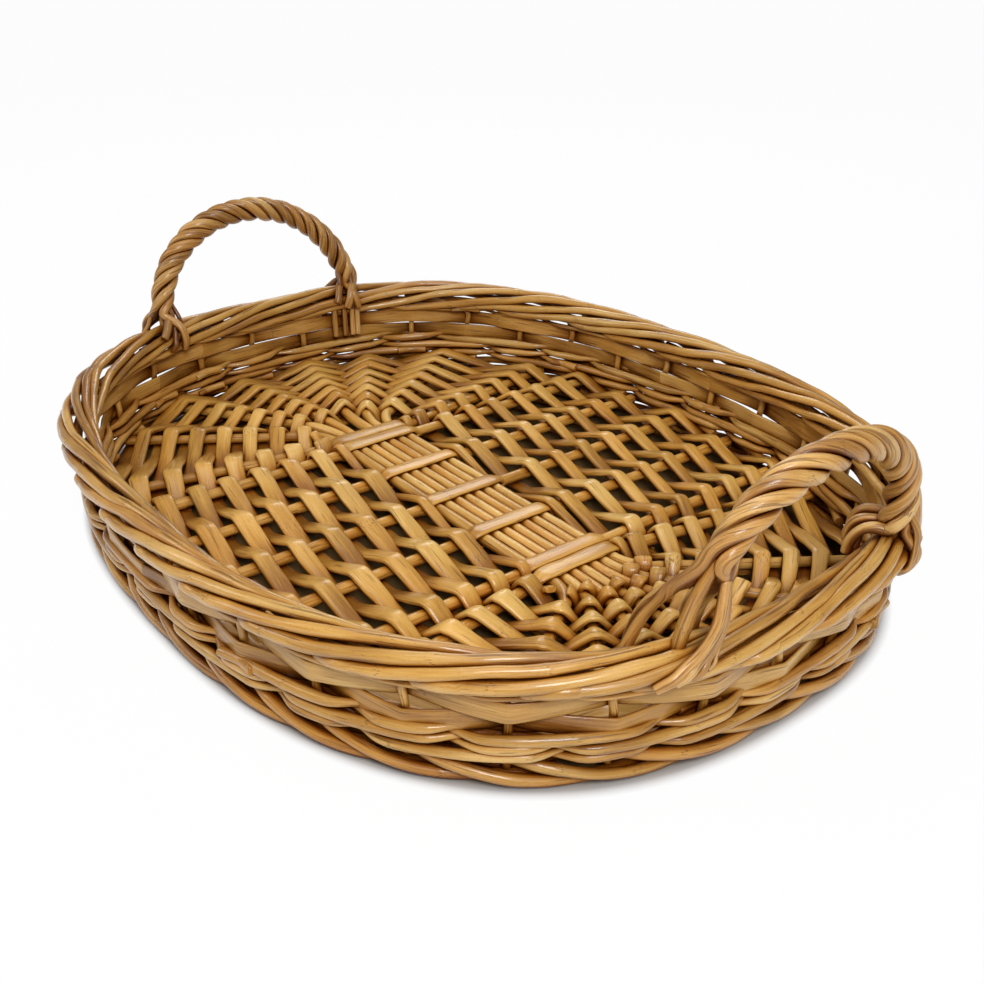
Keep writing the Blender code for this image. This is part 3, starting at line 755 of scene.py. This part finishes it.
def slat(piece, rng, places, widths, narrows, lifts):
    """A slat over and under a row of sticks, folded at each, with widths there and between."""
    row = with_ends(places)
    plan, heights, width = [], [], []
    for index in range(len(places) - 1):
        span = float(np.linalg.norm(places[index + 1] - places[index]))
        edge = min(0.35, SLAT_FOLD / span)
        shares = fold_steps(edge, 6)
        straight = between(places, index, shares[:, None])
        plan.append(0.85 * straight + 0.15 * curve_between(row[index:index + 4], shares))
        if lifts[index] > lifts[index + 1]:
            rise = fold_rise(np.clip(shares / STEEP_SHARE, 0, 1), edge)
        else:
            rise = 1 - fold_rise(np.clip((1 - shares) / STEEP_SHARE, 0, 1), edge)
        heights.append(between(lifts, index, rise))
        full, slim = (between(row, index, shares) for row in (widths, narrows))
        width.append(full + (slim - full) * np.sin(math.pi * shares))
    plan = np.vstack([*plan, places[-1:]])
    heights = np.concatenate([*heights, lifts[-1:]])
    width = np.concatenate([*width, widths[-1:]])
    along = walk_along(plan)
    heights = heights + 0.0002 * wave(rng, along, 0.05)
    run = run_of(plan)
    across = np.column_stack([-run[:, 1], run[:, 0]])
    plan = plan + across * (0.0006 * wave(rng, along, 0.09))[:, None]
    path = np.column_stack([plan, STICK_LEVEL + heights])
    roll = 0.13 * wave(rng, along, 0.06)
    hint = np.column_stack([across * roll[:, None], np.ones(len(run))])
    knots = knotted(rng, along, 0.11)
    width = width * (1 + 0.05 * wave(rng, along, 0.07))
    thickness = SLAT_THICKNESS * (1 + 0.08 * wave(rng, along, 0.06))
    tint = tint_of(rng, along, knots)
    # Painted light and shade: the tone is lighter on the high parts of a slat and darker where it dips low
    # under the sticks.
    painted_shade_lowness = np.clip(0.5 - heights / (2 * np.abs(lifts).max()), 0, 1)
    tint[:, 0] = np.clip(tint[:, 0] + 0.14 - 0.60 * painted_shade_lowness ** 1.4, 0, 1)
    piece.sweep(path, hint, slat_outline(width, thickness), tint)


def base_weavers():
    """The two halves of the base weave, each of several lengths of slat."""
    rng = default_rng(11)
    half = CROSSINGS // 2
    for number, (begin, end) in enumerate(((0, half - 1), (half, CROSSINGS + TURN + EDGE_EASE))):
        piece = Piece()
        for start, stop in stretches(rng, begin, end, 17, 40, 12, odd=True):
            spiral_slat(piece, rng, start, stop, rng.uniform(0.86, 1.1))
        if number == 0:
            inner_slat(piece, rng, -1)
            inner_slat(piece, rng, 1)
            for turns_before in (1, 2):
                first_of_fan = len(CROSS_PLACES) - turns_before * TURN
                spiral_slat(piece, rng, first_of_fan, first_of_fan + LONG_STICKS - 1, 1.0)
        dress(piece, f"base_weaver_{number + 1}", "base_willow")


def long_sticks():
    """The middle bundle, whose sticks open into a fan at both ends."""
    for index in range(LONG_STICKS):
        rng = default_rng(31 + index)
        piece = Piece()
        points, radii = [], []
        for side in (-1, 1):
            start, aim = fan_ray(index, side)
            straight = reach_of_ray(start, aim, END_INSET) - FAN_BEGIN
            before = start - np.array([side, 0.0]) * BEND_BEFORE
            tail = [before, start + aim * BEND_AFTER]
            tail += [start + aim * (FAN_BEGIN + straight * share) for share in FAN_SHARES]
            widths = [LONG_RADIUS] * 2 + [FAN_RADIUS + BEND_SWELL] + [FAN_RADIUS] * 3
            if side < 0 and index == MIDDLE_STICK:
                tail, widths = [start], [LONG_RADIUS]
            if side < 0:
                xs = np.linspace(before[0] + BUNDLE_BEGIN, BUNDLE_END_X, BUNDLE_POINTS)
                tail = tail[::-1] + [(x, start[1]) for x in xs]
                widths = widths[::-1] + [LONG_RADIUS] * BUNDLE_POINTS
            points += [(*p, STICK_LEVEL) for p in tail]
            radii += widths
        track = smooth_path(np.column_stack([points, radii]), POINT_STEPS)
        track[:, 1] += 0.0002 * wave(rng, walk_along(track[:, :3]), 0.09)
        tone = rng.uniform(0.45, 0.8)
        rod(piece, rng, track[:, :3], (0, 0, 1), track[:, 3], 14, tone=tone, uneven=0.04)
        dress(piece, f"long_stick_{index + 1}", "base_willow")


def cross_sticks():
    """Sticks split in the middle around the long ones."""
    for number, (place, spread) in enumerate(CROSS_PLACES):
        rng = default_rng(51 + number)
        piece = Piece()
        start, aim = cross_arm(place, spread, 1)
        reach = reach_of_ray(start, aim, END_INSET)
        half_length = BUNDLE_HALF + abs(aim[1]) * reach
        samples = ((-half_length, -ARM_FROM, ARM_SAMPLES), *SPLIT_SAMPLES,
                   (ARM_FROM, half_length, ARM_SAMPLES))
        ys = np.concatenate([np.linspace(*part) for part in samples])
        along = ys - ys[0]
        inside = 1 / (1 + np.exp((np.abs(ys) - EYE_HALF) / EYE_SOFTNESS))
        within = inside[:, None]
        drift = spread * np.maximum(np.abs(ys) - EYE_SHOULDER, 0) / (HALF_WIDTH - BUNDLE_HALF)
        for level in (1, -1):
            wander = 0.0006 * wave(rng, along, 0.16) * (1 - inside)
            x = place + drift + wander + 0.0005 * inside * rng.uniform(-1, 1)
            z = STICK_LEVEL + level * inside * (LONG_RADIUS + SPLIT_GAP)
            split_width = SPLIT_WIDTH * inside * (1 + 0.07 * wave(rng, along, 0.03))
            width = CROSS_RADIUS * 2 * (1 - inside) + split_width
            half = (width * (1 + 0.03 * wave(rng, along, 0.06)))[:, None] / 2
            thick = CROSS_RADIUS * (1 - within) + SPLIT_THICKNESS * within
            angles = np.linspace(-0.5, math.pi + 0.5, 9)
            lift = squared(np.sin(angles), 0.8 - 0.4 * within)
            below = np.where(lift < 0, 1 - 0.8 * within, 1.0)
            arc = np.stack([half * np.cos(angles), level * thick * lift * below], axis=-1)
            flat = -level * (0.0015 - 0.0011 * within) * np.ones(3)
            flat = np.stack([half * np.array([-0.5, 0.0, 0.5]), flat], axis=-1)
            outline = np.concatenate([arc, flat], axis=1)
            if level < 0:
                outline = outline[:, ::-1]
            knots = knotted(rng, along, 0.09)
            tint = tint_of(rng, along, knots, rng.uniform(0.4, 0.7))
            piece.sweep(np.column_stack([x, ys, z]), (0, 0, 1), outline, tint)
        dress(piece, f"cross_stick_{number + 1}", "base_willow")


# Wall
def foot_rods():
    """Short rods around the foot, each laid over the next."""
    piece = Piece()
    rng = default_rng(71)
    for number in range(STAKE_COUNT):
        places = (number + FOOT_PLACES + rng.uniform(-0.1, 0.1)) * BAY
        reaches = FOOT_REACHES + rng.uniform(-0.0004, 0.0004)
        path = smooth_path(OVAL.at(places, reaches, FOOT_HEIGHTS), 6)
        radius = FOOT_RADIUS * rng.uniform(0.92, 1.08)
        radii = radius * (1 - FOOT_THINNING * np.linspace(0, 1, len(path)))
        path[:, 2] = np.maximum(path[:, 2], radii * 1.1)
        rod(piece, rng, path, (0, 0, 1), radii)
    dress(piece, "foot_border", "wall_willow")


def wale_strand(piece, rng, row, begin, end, way, level, radius, swing, rise):
    """A length of wall rod, higher outside the stakes than inside them.

    Way 1 runs outside two stakes and inside the third, way -1 the other way round.
    """
    places = np.arange(begin * 4, end * 4 + 1) / 4
    turn = (places + row - 0.5) % 3
    outside = np.where(turn < 2, turn / 2, 3 - turn)
    crossing = np.minimum(np.abs(turn - 2), np.minimum(turn, 3 - turn))
    bend = np.clip(crossing / WALE_BEND_BAYS, 0, 1)
    outs = way * swing * np.where(turn < 2, 1, -1) * np.sin(bend * math.pi / 2)
    outs[[0, -1]] += way * WALE_END_REACH
    heights = level + way * rise * (2 * outside - 1)
    slim = 1 - WALE_THINNING * np.exp(-(crossing / WALE_THIN_BAYS) ** 2)
    track = smooth_path(np.column_stack([OVAL.at(places * BAY, outs, heights), slim]), 4)
    track[:, 2] += 0.00025 * wave(rng, walk_along(track[:, :3]), 0.07)
    taper = np.linspace(rng.uniform(1.0, 1.1), rng.uniform(0.84, 0.95), len(track))
    outward = OVAL.outward(np.linspace(begin * BAY, end * BAY, len(track)))
    hint = np.column_stack([outward, np.zeros(len(track))])
    rod(piece, rng, track[:, :3], hint, radius * taper * track[:, 3])


def wales():
    """Rows around the wall: two rods that cross between the stakes, each of several lengths."""
    for node, seed, row, shortest, longest, *sizes in WALES:
        piece = Piece()
        rng = default_rng(seed)
        for way in (1, -1):
            first = int(rng.integers(0, 4))
            for start, stop in stretches(rng, first, first + STAKE_COUNT, shortest, longest, 3):
                wale_strand(piece, rng, row, start - WALE_OVERLAP, stop + WALE_OVERLAP, way, *sizes)
        dress(piece, node, "wall_willow")


def side_bands():
    """Wide split bands, in front of one stake and behind the next."""
    shares = fold_steps(BAND_FOLD, 8)
    rise = fold_rise(shares, BAND_FOLD)
    for row, level in enumerate(BAND_LEVELS):
        rng = default_rng(101 + row)
        piece = Piece()
        first = row * 2
        for start, stop in stretches(rng, first, first + STAKE_COUNT, 6, 11, 4):
            places, outs = [], []
            for stake in range(start, stop):
                here, after = (1 if (number % STAKE_COUNT + row) % 2 == 0 else -1
                               for number in (stake, stake + 1))
                places.append(stake + shares)
                outs.append(here + (after - here) * rise)
            along = np.concatenate([*places, [stop]]) * BAY
            outs = np.concatenate([*outs, [after]])
            heights = level - BAND_DIP * outs + 0.0004 * wave(rng, along, 0.11)
            path = OVAL.at(along, BAND_SWING * outs, heights)
            hint = np.column_stack([OVAL.outward(along), 0.10 * wave(rng, along, 0.09)])
            width = BAND_HEIGHT * (1 + 0.05 * wave(rng, along, 0.1))
            walked = along - along[0]
            tint = tint_of(rng, walked, knotted(rng, walked, 0.12))
            piece.sweep(path, hint, slat_outline(width, BAND_THICKNESS, 0.6), tint)
        dress(piece, f"side_band_{row + 1}", "wall_willow")


def stakes():
    """Every stake with the border rod that its top becomes."""
    stem_steps = POINT_STEPS * len(STAKE_HEIGHTS)
    for number in range(STAKE_COUNT):
        rng = default_rng(201 + number)
        piece = Piece()
        start = number * BAY
        bays = BORDER_BAYS + rng.uniform(-0.25, 0.25)
        turns = np.arange(0, bays + TUCK_BAYS + CORE_BAYS, BORDER_STEP)
        turn = BORDER_TURN_PER_BAY * (turns + 0.17 * wave(rng, turns, 2.9)) + rng.uniform(-7, 7)
        lay = BORDER_LAY + rng.choice([-0.0005, 0.0004]) + 0.0006 * wave(rng, turns, 2.2)
        tuck = np.clip((turns - bays) / TUCK_BAYS, 0, 1)
        lay = lay + (CORE_LAY - lay) * tuck ** 2 * (3 - 2 * tuck)
        places = start + (BORDER_START_SHARE + turns) * BAY
        border = OVAL.round_border(places, lay, np.radians(BORDER_START_ANGLE - turn))
        stem = OVAL.at(start, 0.0, STAKE_HEIGHTS)
        radii = BORDER_RADIUS * rng.uniform(0.92, 1.14) * np.linspace(1.06, 0.82, len(border))
        radii = np.concatenate([[STAKE_RADIUS] * len(stem), radii])
        track = smooth_path(np.column_stack([np.vstack([stem, border]), radii]), POINT_STEPS)
        last = len(track) - 1
        bend = np.interp(np.arange(len(track)), [0, stem_steps, last], [start, start, places[-1]])
        hint = np.column_stack([OVAL.outward(bend), np.zeros(len(track))])
        hint[stem_steps + POINT_STEPS:, 2] = 0.6
        rod(piece, rng, track[:, :3], hint, track[:, 3], ends=(0.3, 0.25))
        dress(piece, f"stake_{number + 1:02d}", "border_willow")


# Handles
def handle_arch(side, far, near, lean, bulge, power, skew, steps):
    """The arch of a handle's core from the far foot to the near one."""
    far_foot, near_foot = (OVAL.at(OVAL.along_of_y(spread), 0.0, BORDER_LEVEL)[0] for spread in (far, near))
    angle = np.linspace(0.0, math.pi, steps)
    rise = HANDLE_RISE * np.sin(angle) ** HANDLE_POWER
    width = squared(np.cos(angle), power)
    x = side * (far_foot + (near_foot - far_foot) * (1 - width) / 2 + lean * rise)
    y = np.where(width > 0, far, near) * width * (1 + bulge * np.sin(angle)) + skew * rise
    return np.stack([x, y, BORDER_LEVEL + rise], axis=1)


def even_path(path, count):
    """The same path with evenly spaced points."""
    along = walk_along(path)
    return points_at(np.linspace(0, along[-1], count), along, path)


def handles():
    """Core and twisted strands of both handles."""
    for name, (side, pitch, far, near, *arch_form) in ARCHES.items():
        rng = default_rng(301 + side)
        arch = even_path(handle_arch(side, far, near, *arch_form, 400), 161)
        total = walk_along(arch)
        core = Piece()
        rod(core, rng, arch[1:-1], (side, 0, 0), CORE_RADIUS)
        dress(core, f"handle_{name}_core", "border_willow")
        far_along, near_along = OVAL.along_of_y(far), OVAL.along_of_y(near)
        feet = (far_along, OVAL.length / 2 - near_along)
        if side < 0:
            feet = (OVAL.length - far_along, OVAL.length / 2 + near_along)
        far_plan, near_plan = FEET[name]
        keep = arch[:, 2] > BORDER_LEVEL + np.where(arch[:, 1] > 0, far_plan[0], near_plan[0])
        tangent = run_of(arch)
        outwards = np.array([side, 0.0, 0.0])
        first = unit(outwards - tangent * (tangent @ outwards)[:, None])
        second = np.cross(tangent, first)
        bodies, endings = [], []
        for strand in range(STRANDS):
            strand_rng = default_rng(321 + 10 * side + strand)
            turn = 2 * math.pi * (total / pitch + strand / STRANDS) + 0.14 * wave(strand_rng, total, 0.12)
            reach = STRAND_REACH + 0.0003 * wave(strand_rng, total, 0.05)
            radial = first * np.cos(turn)[:, None] + second * np.sin(turn)[:, None]
            helix = arch + radial * reach[:, None]
            bodies.append((helix[keep], radial[keep]))
            below = [helix[~keep & (arch[:, 1] * way > 0)][::way] for way in (1, -1)]
            endings.append([even_path(path, TAIL_STEPS + 1)[-2::-1] for path in below])
        rope = Piece()
        tails = [foot_tails(bodies, endings, end, foot, plan)
                 for end, foot, plan in zip((0, -1), feet, FEET[name])]
        for (body, outs), head, tail in zip(bodies, *tails):
            middle = np.column_stack([body, outs, np.ones(len(body))])
            rows = np.vstack([head[::-1], middle, tail])
            ends = TAIL_STEPS + 2
            track = np.vstack([smooth_path(rows[:ends], 3), rows[ends:-ends], smooth_path(rows[-ends:], 3)])
            for plan in FEET[name]:
                track = calmed(track, plan[1][4], 3 * ends)[::-1]
            strand_sweep(rope, rng, track[:, :3], track[:, 3:6], track[:, 6])
        for foot, plan in zip(feet, FEET[name]):
            for tip in plan[3]:
                thin_tip(rope, rng, foot, plan[1][5], *tip)
        for first_end, last_end in CUT_ENDS[name]:
            along, out, height = np.linspace(first_end, last_end, CUT_END_STEPS).T
            path = OVAL.at(feet[0] + along, out, height)
            strand_sweep(rope, rng, path, (-side, 0, 0.2), np.full(len(path), CUT_END_SHARE))
        dress(rope, f"handle_{name}_rope", "handle_willow")


def calmed(track, rounds, count):
    """A track whose first points are smoothed."""
    track = track.copy()
    weight = 0.5 * np.clip((count + 8 - np.arange(1, len(track) - 1)) / 6, 0, 1)[:, None]
    for _ in range(rounds):
        track[1:-1] += weight * ((track[:-2] + track[2:]) / 2 - track[1:-1])
    return track


def foot_tails(bodies, endings, end, foot, plan):
    """Points, hints and thickness of every strand's tail at one foot.

    Each goes over from the rope to its own way over the border, and the pairs twist.
    """
    _, (ease, parting, fall, twist, _, _), ways, _ = plan
    outward = np.array([*OVAL.outward(foot), 0.0])
    tangent = np.array([-outward[1], outward[0], 0.0])
    order = np.argsort([-float(outs[end] @ outward) for _, outs in bodies])
    shares = np.arange(1, TAIL_STEPS + 1) / TAIL_STEPS
    paths, hints = [], []
    for strand, (place, last, final, middle, _) in zip(order, ways):
        away = bodies[strand][0][end] - OVAL.at(foot, 0, BORDER_LEVEL)
        start, out, above = away @ tangent, away @ outward, away[2]
        along = foot + start + (place - start) * shares
        first = math.atan2(out, above)
        turns = first + (math.radians(last) - first) * shares ** ease
        height = math.hypot(out, above)
        reach = height + (TAIL_REACH + final - height) * shares ** fall + middle * np.sin(math.pi * shares)
        paths.append(OVAL.round_border(along, reach, turns))
        sideways = OVAL.outward(along) * math.copysign(1, last)
        hints.append(np.column_stack([sideways, np.full(len(along), 0.5)]))
    fade = fold_rise(np.clip(parting * shares, 0, 1), 0.5)[:, None]
    angle = (math.radians(twist) * shares)[:, None]
    tails = [None] * STRANDS
    for pair in (0, 2):
        centre = (paths[pair] + paths[pair + 1]) / 2
        half = paths[pair] - centre
        turned = half * np.cos(angle) + np.cross(run_of(centre), half) * np.sin(angle)
        for number, way in ((pair, 1), (pair + 1, -1)):
            strand = order[number]
            rope_way = endings[strand][-end]
            points = rope_way + (centre + way * turned - rope_way) * fade
            hint = unit(turned) * way + (0, 0, 0.6) if twist else hints[number]
            tails[strand] = np.column_stack([points, hint, 1 + (ways[number][4] - 1) * shares])
    return tails


def thin_tip(piece, rng, foot, rise, begin, finish, last, radius):
    """A thin rod's tip that leaves the rope and bends over the border."""
    shares = np.linspace(0, 1, 6)
    turns = np.radians(last * (0.04 + 0.96 * shares))
    lifts = np.array([rise, 0.48 * rise, 0.12 * rise, 0.0, 0.0, -0.0014])
    reach = BORDER_LAY + BORDER_RADIUS + radius + lifts
    path = smooth_path(OVAL.round_border(foot + begin + (finish - begin) * shares, reach, turns), 7)
    slim = np.full(len(path), 2 * radius / STRAND_WIDTH)
    strand_sweep(piece, rng, path, (math.copysign(1, last), 0, 0.5), slim)


def strand_sweep(piece, rng, path, hint, slim):
    """One strand of a handle's rope: three thin rods pressed together, with painted shade in the seams and
    on the strand's inner side.
    """
    along = walk_along(path)
    width = STRAND_WIDTH * slim * (1 + 0.08 * wave(rng, along, 0.05))
    thick = STRAND_THICKNESS * slim * (1 + 0.08 * wave(rng, along, 0.04))
    angles = circle(STRAND_SIDES)
    seam = angles + rng.uniform(0, 6) + 2 * math.pi * along[:, None] / SEAM_PITCH
    ridge = np.abs(np.cos(1.5 * seam))
    swell = 0.5 * (0.94 + 0.06 * ridge ** 0.6)
    shape = np.stack([width[:, None] * np.cos(angles) * swell,
                      thick[:, None] * np.sin(angles) * swell], axis=-1)
    knots = knotted(rng, along, 0.16)
    tint = np.repeat(tint_of(rng, along, knots)[:, None, :], STRAND_SIDES, axis=1)
    # Painted shade: the tone is darker along the seams and on the side of the strand turned away from its
    # hint, which in the rope faces the core.
    inner_side_shade = np.clip((0.45 - np.sin(angles)) / 0.9, 0, 1)
    seam_and_side_shade = 0.3 * np.exp(-(ridge / 0.2) ** 2) + 0.75 * inner_side_shade
    tint[..., 0] = np.clip(tint[..., 0] + 0.08 - seam_and_side_shade, 0, 1)
    piece.sweep(path, hint, shape, tint)


foot_rods()
long_sticks()
cross_sticks()
base_weavers()
wales()
side_bands()
stakes()
handles()


# Floor, light and camera
FLOOR_SIZE = 6.0
FLOOR_COLOUR = (0.85, 0.85, 0.85)
# Painted shadow: a dark brown floor colour inside the tray's foot, where the floor lies in the tray's
# shadow.
FLOOR_PAINTED_SHADOW = (0.15, 0.09, 0.035)
WORLD_STRENGTH = 0.2
# Name, place, target, size and power of each soft box
LAMPS = (
    ("key", (0.80, -0.46, 0.80), (0.02, -0.03, 0), (0.36, 0.36), 8.8),
    ("top", (0.1, -0.05, 1.3), (0, 0, 0), (0.9, 0.6), 4.3),
    ("left", (-0.6, -0.9, 0.75), (0, 0, 0), (0.5, 0.5), 3.2),
    ("back", (-0.9, 0.75, 0.85), (0, 0, 0), (0.5, 0.5), 4.0),
)


def plain_floor():
    """A white floor that keeps the tray's shadow, with a painted shadow of dark colour under the tray."""
    mesh = bpy.data.meshes.new("floor")
    corners = [(x * FLOOR_SIZE, y * FLOOR_SIZE, 0) for x, y in ((-1, -1), (1, -1), (1, 1), (-1, 1))]
    mesh.from_pydata(corners, [], [(0, 1, 2, 3)])
    floor = new_object("floor", mesh)
    material, tree, shader = new_material("floor_white")
    ray = add_node(tree, "LightPath").outputs
    seen = maths("MAXIMUM", ray["Is Camera Ray"], ray["Is Glossy Ray"])
    seen = maths("MAXIMUM", seen, ray["Is Transmission Ray"])
    place = add_node(tree, "NewGeometry").outputs["Position"]
    split = add_node(tree, "SeparateXYZ", Vector=place)
    powers = []
    for on_axis, half in zip(split.outputs, (HALF_LENGTH, HALF_WIDTH)):
        ratio = maths("ABSOLUTE", maths("DIVIDE", on_axis, half))
        powers.append(maths("POWER", ratio, OVAL_POWER))
    radius = maths("POWER", maths("ADD", *powers), 1 / OVAL_POWER)
    # Painted shadow inside the foot's oval, white floor outside it.
    stops = ((0.5, FLOOR_PAINTED_SHADOW), (0.525, FLOOR_COLOUR))
    colour = ramp(maths("MULTIPLY", radius, 0.5), stops)
    fill(shader, Base_Color=colour, Roughness=0.8, Specular_IOR_Level=0.0)
    white = add_node(tree, "Emission", Strength=1.0)
    share = add_node(tree, "MapRange", Value=radius, From_Min=1.03, From_Max=1.055,
                     To_Min=0.0, To_Max=0.97)
    mix = add_node(tree, "MixShader")
    fac = maths("MULTIPLY", seen, share.outputs[0])
    for socket, value in zip(mix.inputs, (fac, shader.outputs[0], white.outputs[0])):
        put(socket, value)
    fill(tree.nodes["Material Output"], Surface=mix.outputs[0])
    mesh.materials.append(material)


def aimed(name, data, side, up, back, place):
    """A lamp or camera in the scene that looks away from its back."""
    obj = new_object(name, data)
    obj.matrix_world = Matrix([*zip(side, up, back, place), (0, 0, 0, 1)])
    return obj


def lamps():
    """Soft boxes and an even white surrounding."""
    for name, place, target, size, power in LAMPS:
        data = bpy.data.lights.new(name, "AREA")
        data.shape = "RECTANGLE"
        data.size, data.size_y = size
        data.energy = power
        back = unit(np.subtract(place, target))
        side = unit(np.cross((0, 0, 1), back) + (1e-6, 0, 0))
        aimed(name, data, side, np.cross(back, side), back, place)
    world = bpy.data.worlds.new("surrounding")
    bpy.context.scene.world = world
    world.use_nodes = True
    tree = world.node_tree
    ray = add_node(tree, "LightPath").outputs
    seen = maths("MAXIMUM", ray["Is Camera Ray"], ray["Is Transmission Ray"])
    strength = add_node(tree, "MapRange", Value=seen, To_Min=WORLD_STRENGTH, To_Max=1.0)
    fill(tree.nodes["Background"], Color=(1, 1, 1, 1), Strength=strength.outputs[0])


def camera():
    """The camera of the picture, fitted through the border, the foot and the handles."""
    turn, lift, tilt = 0.90099, 0.50585, 0.016864
    distance, focal = 0.67249, 1104.21
    picture, sensor = 984.0, 36.0
    middle_x, middle_y = 30.05, 19.61
    back = np.array([math.sin(turn) * math.cos(lift), -math.cos(turn) * math.cos(lift), math.sin(lift)])
    side = np.array([math.cos(turn), math.sin(turn), 0.0])
    up = np.cross(back, side)
    right = math.cos(tilt) * side + math.sin(tilt) * up
    above = -math.sin(tilt) * side + math.cos(tilt) * up
    data = bpy.data.cameras.new("camera")
    data.sensor_width = sensor
    data.lens = focal * sensor / picture
    data.shift_x = middle_x / picture
    data.shift_y = middle_y / picture
    data.clip_start = 0.01
    bpy.context.scene.camera = aimed("camera", data, right, above, back, back * distance)


plain_floor()
lamps()
camera()
bpy.context.scene.view_settings.view_transform = "Standard"
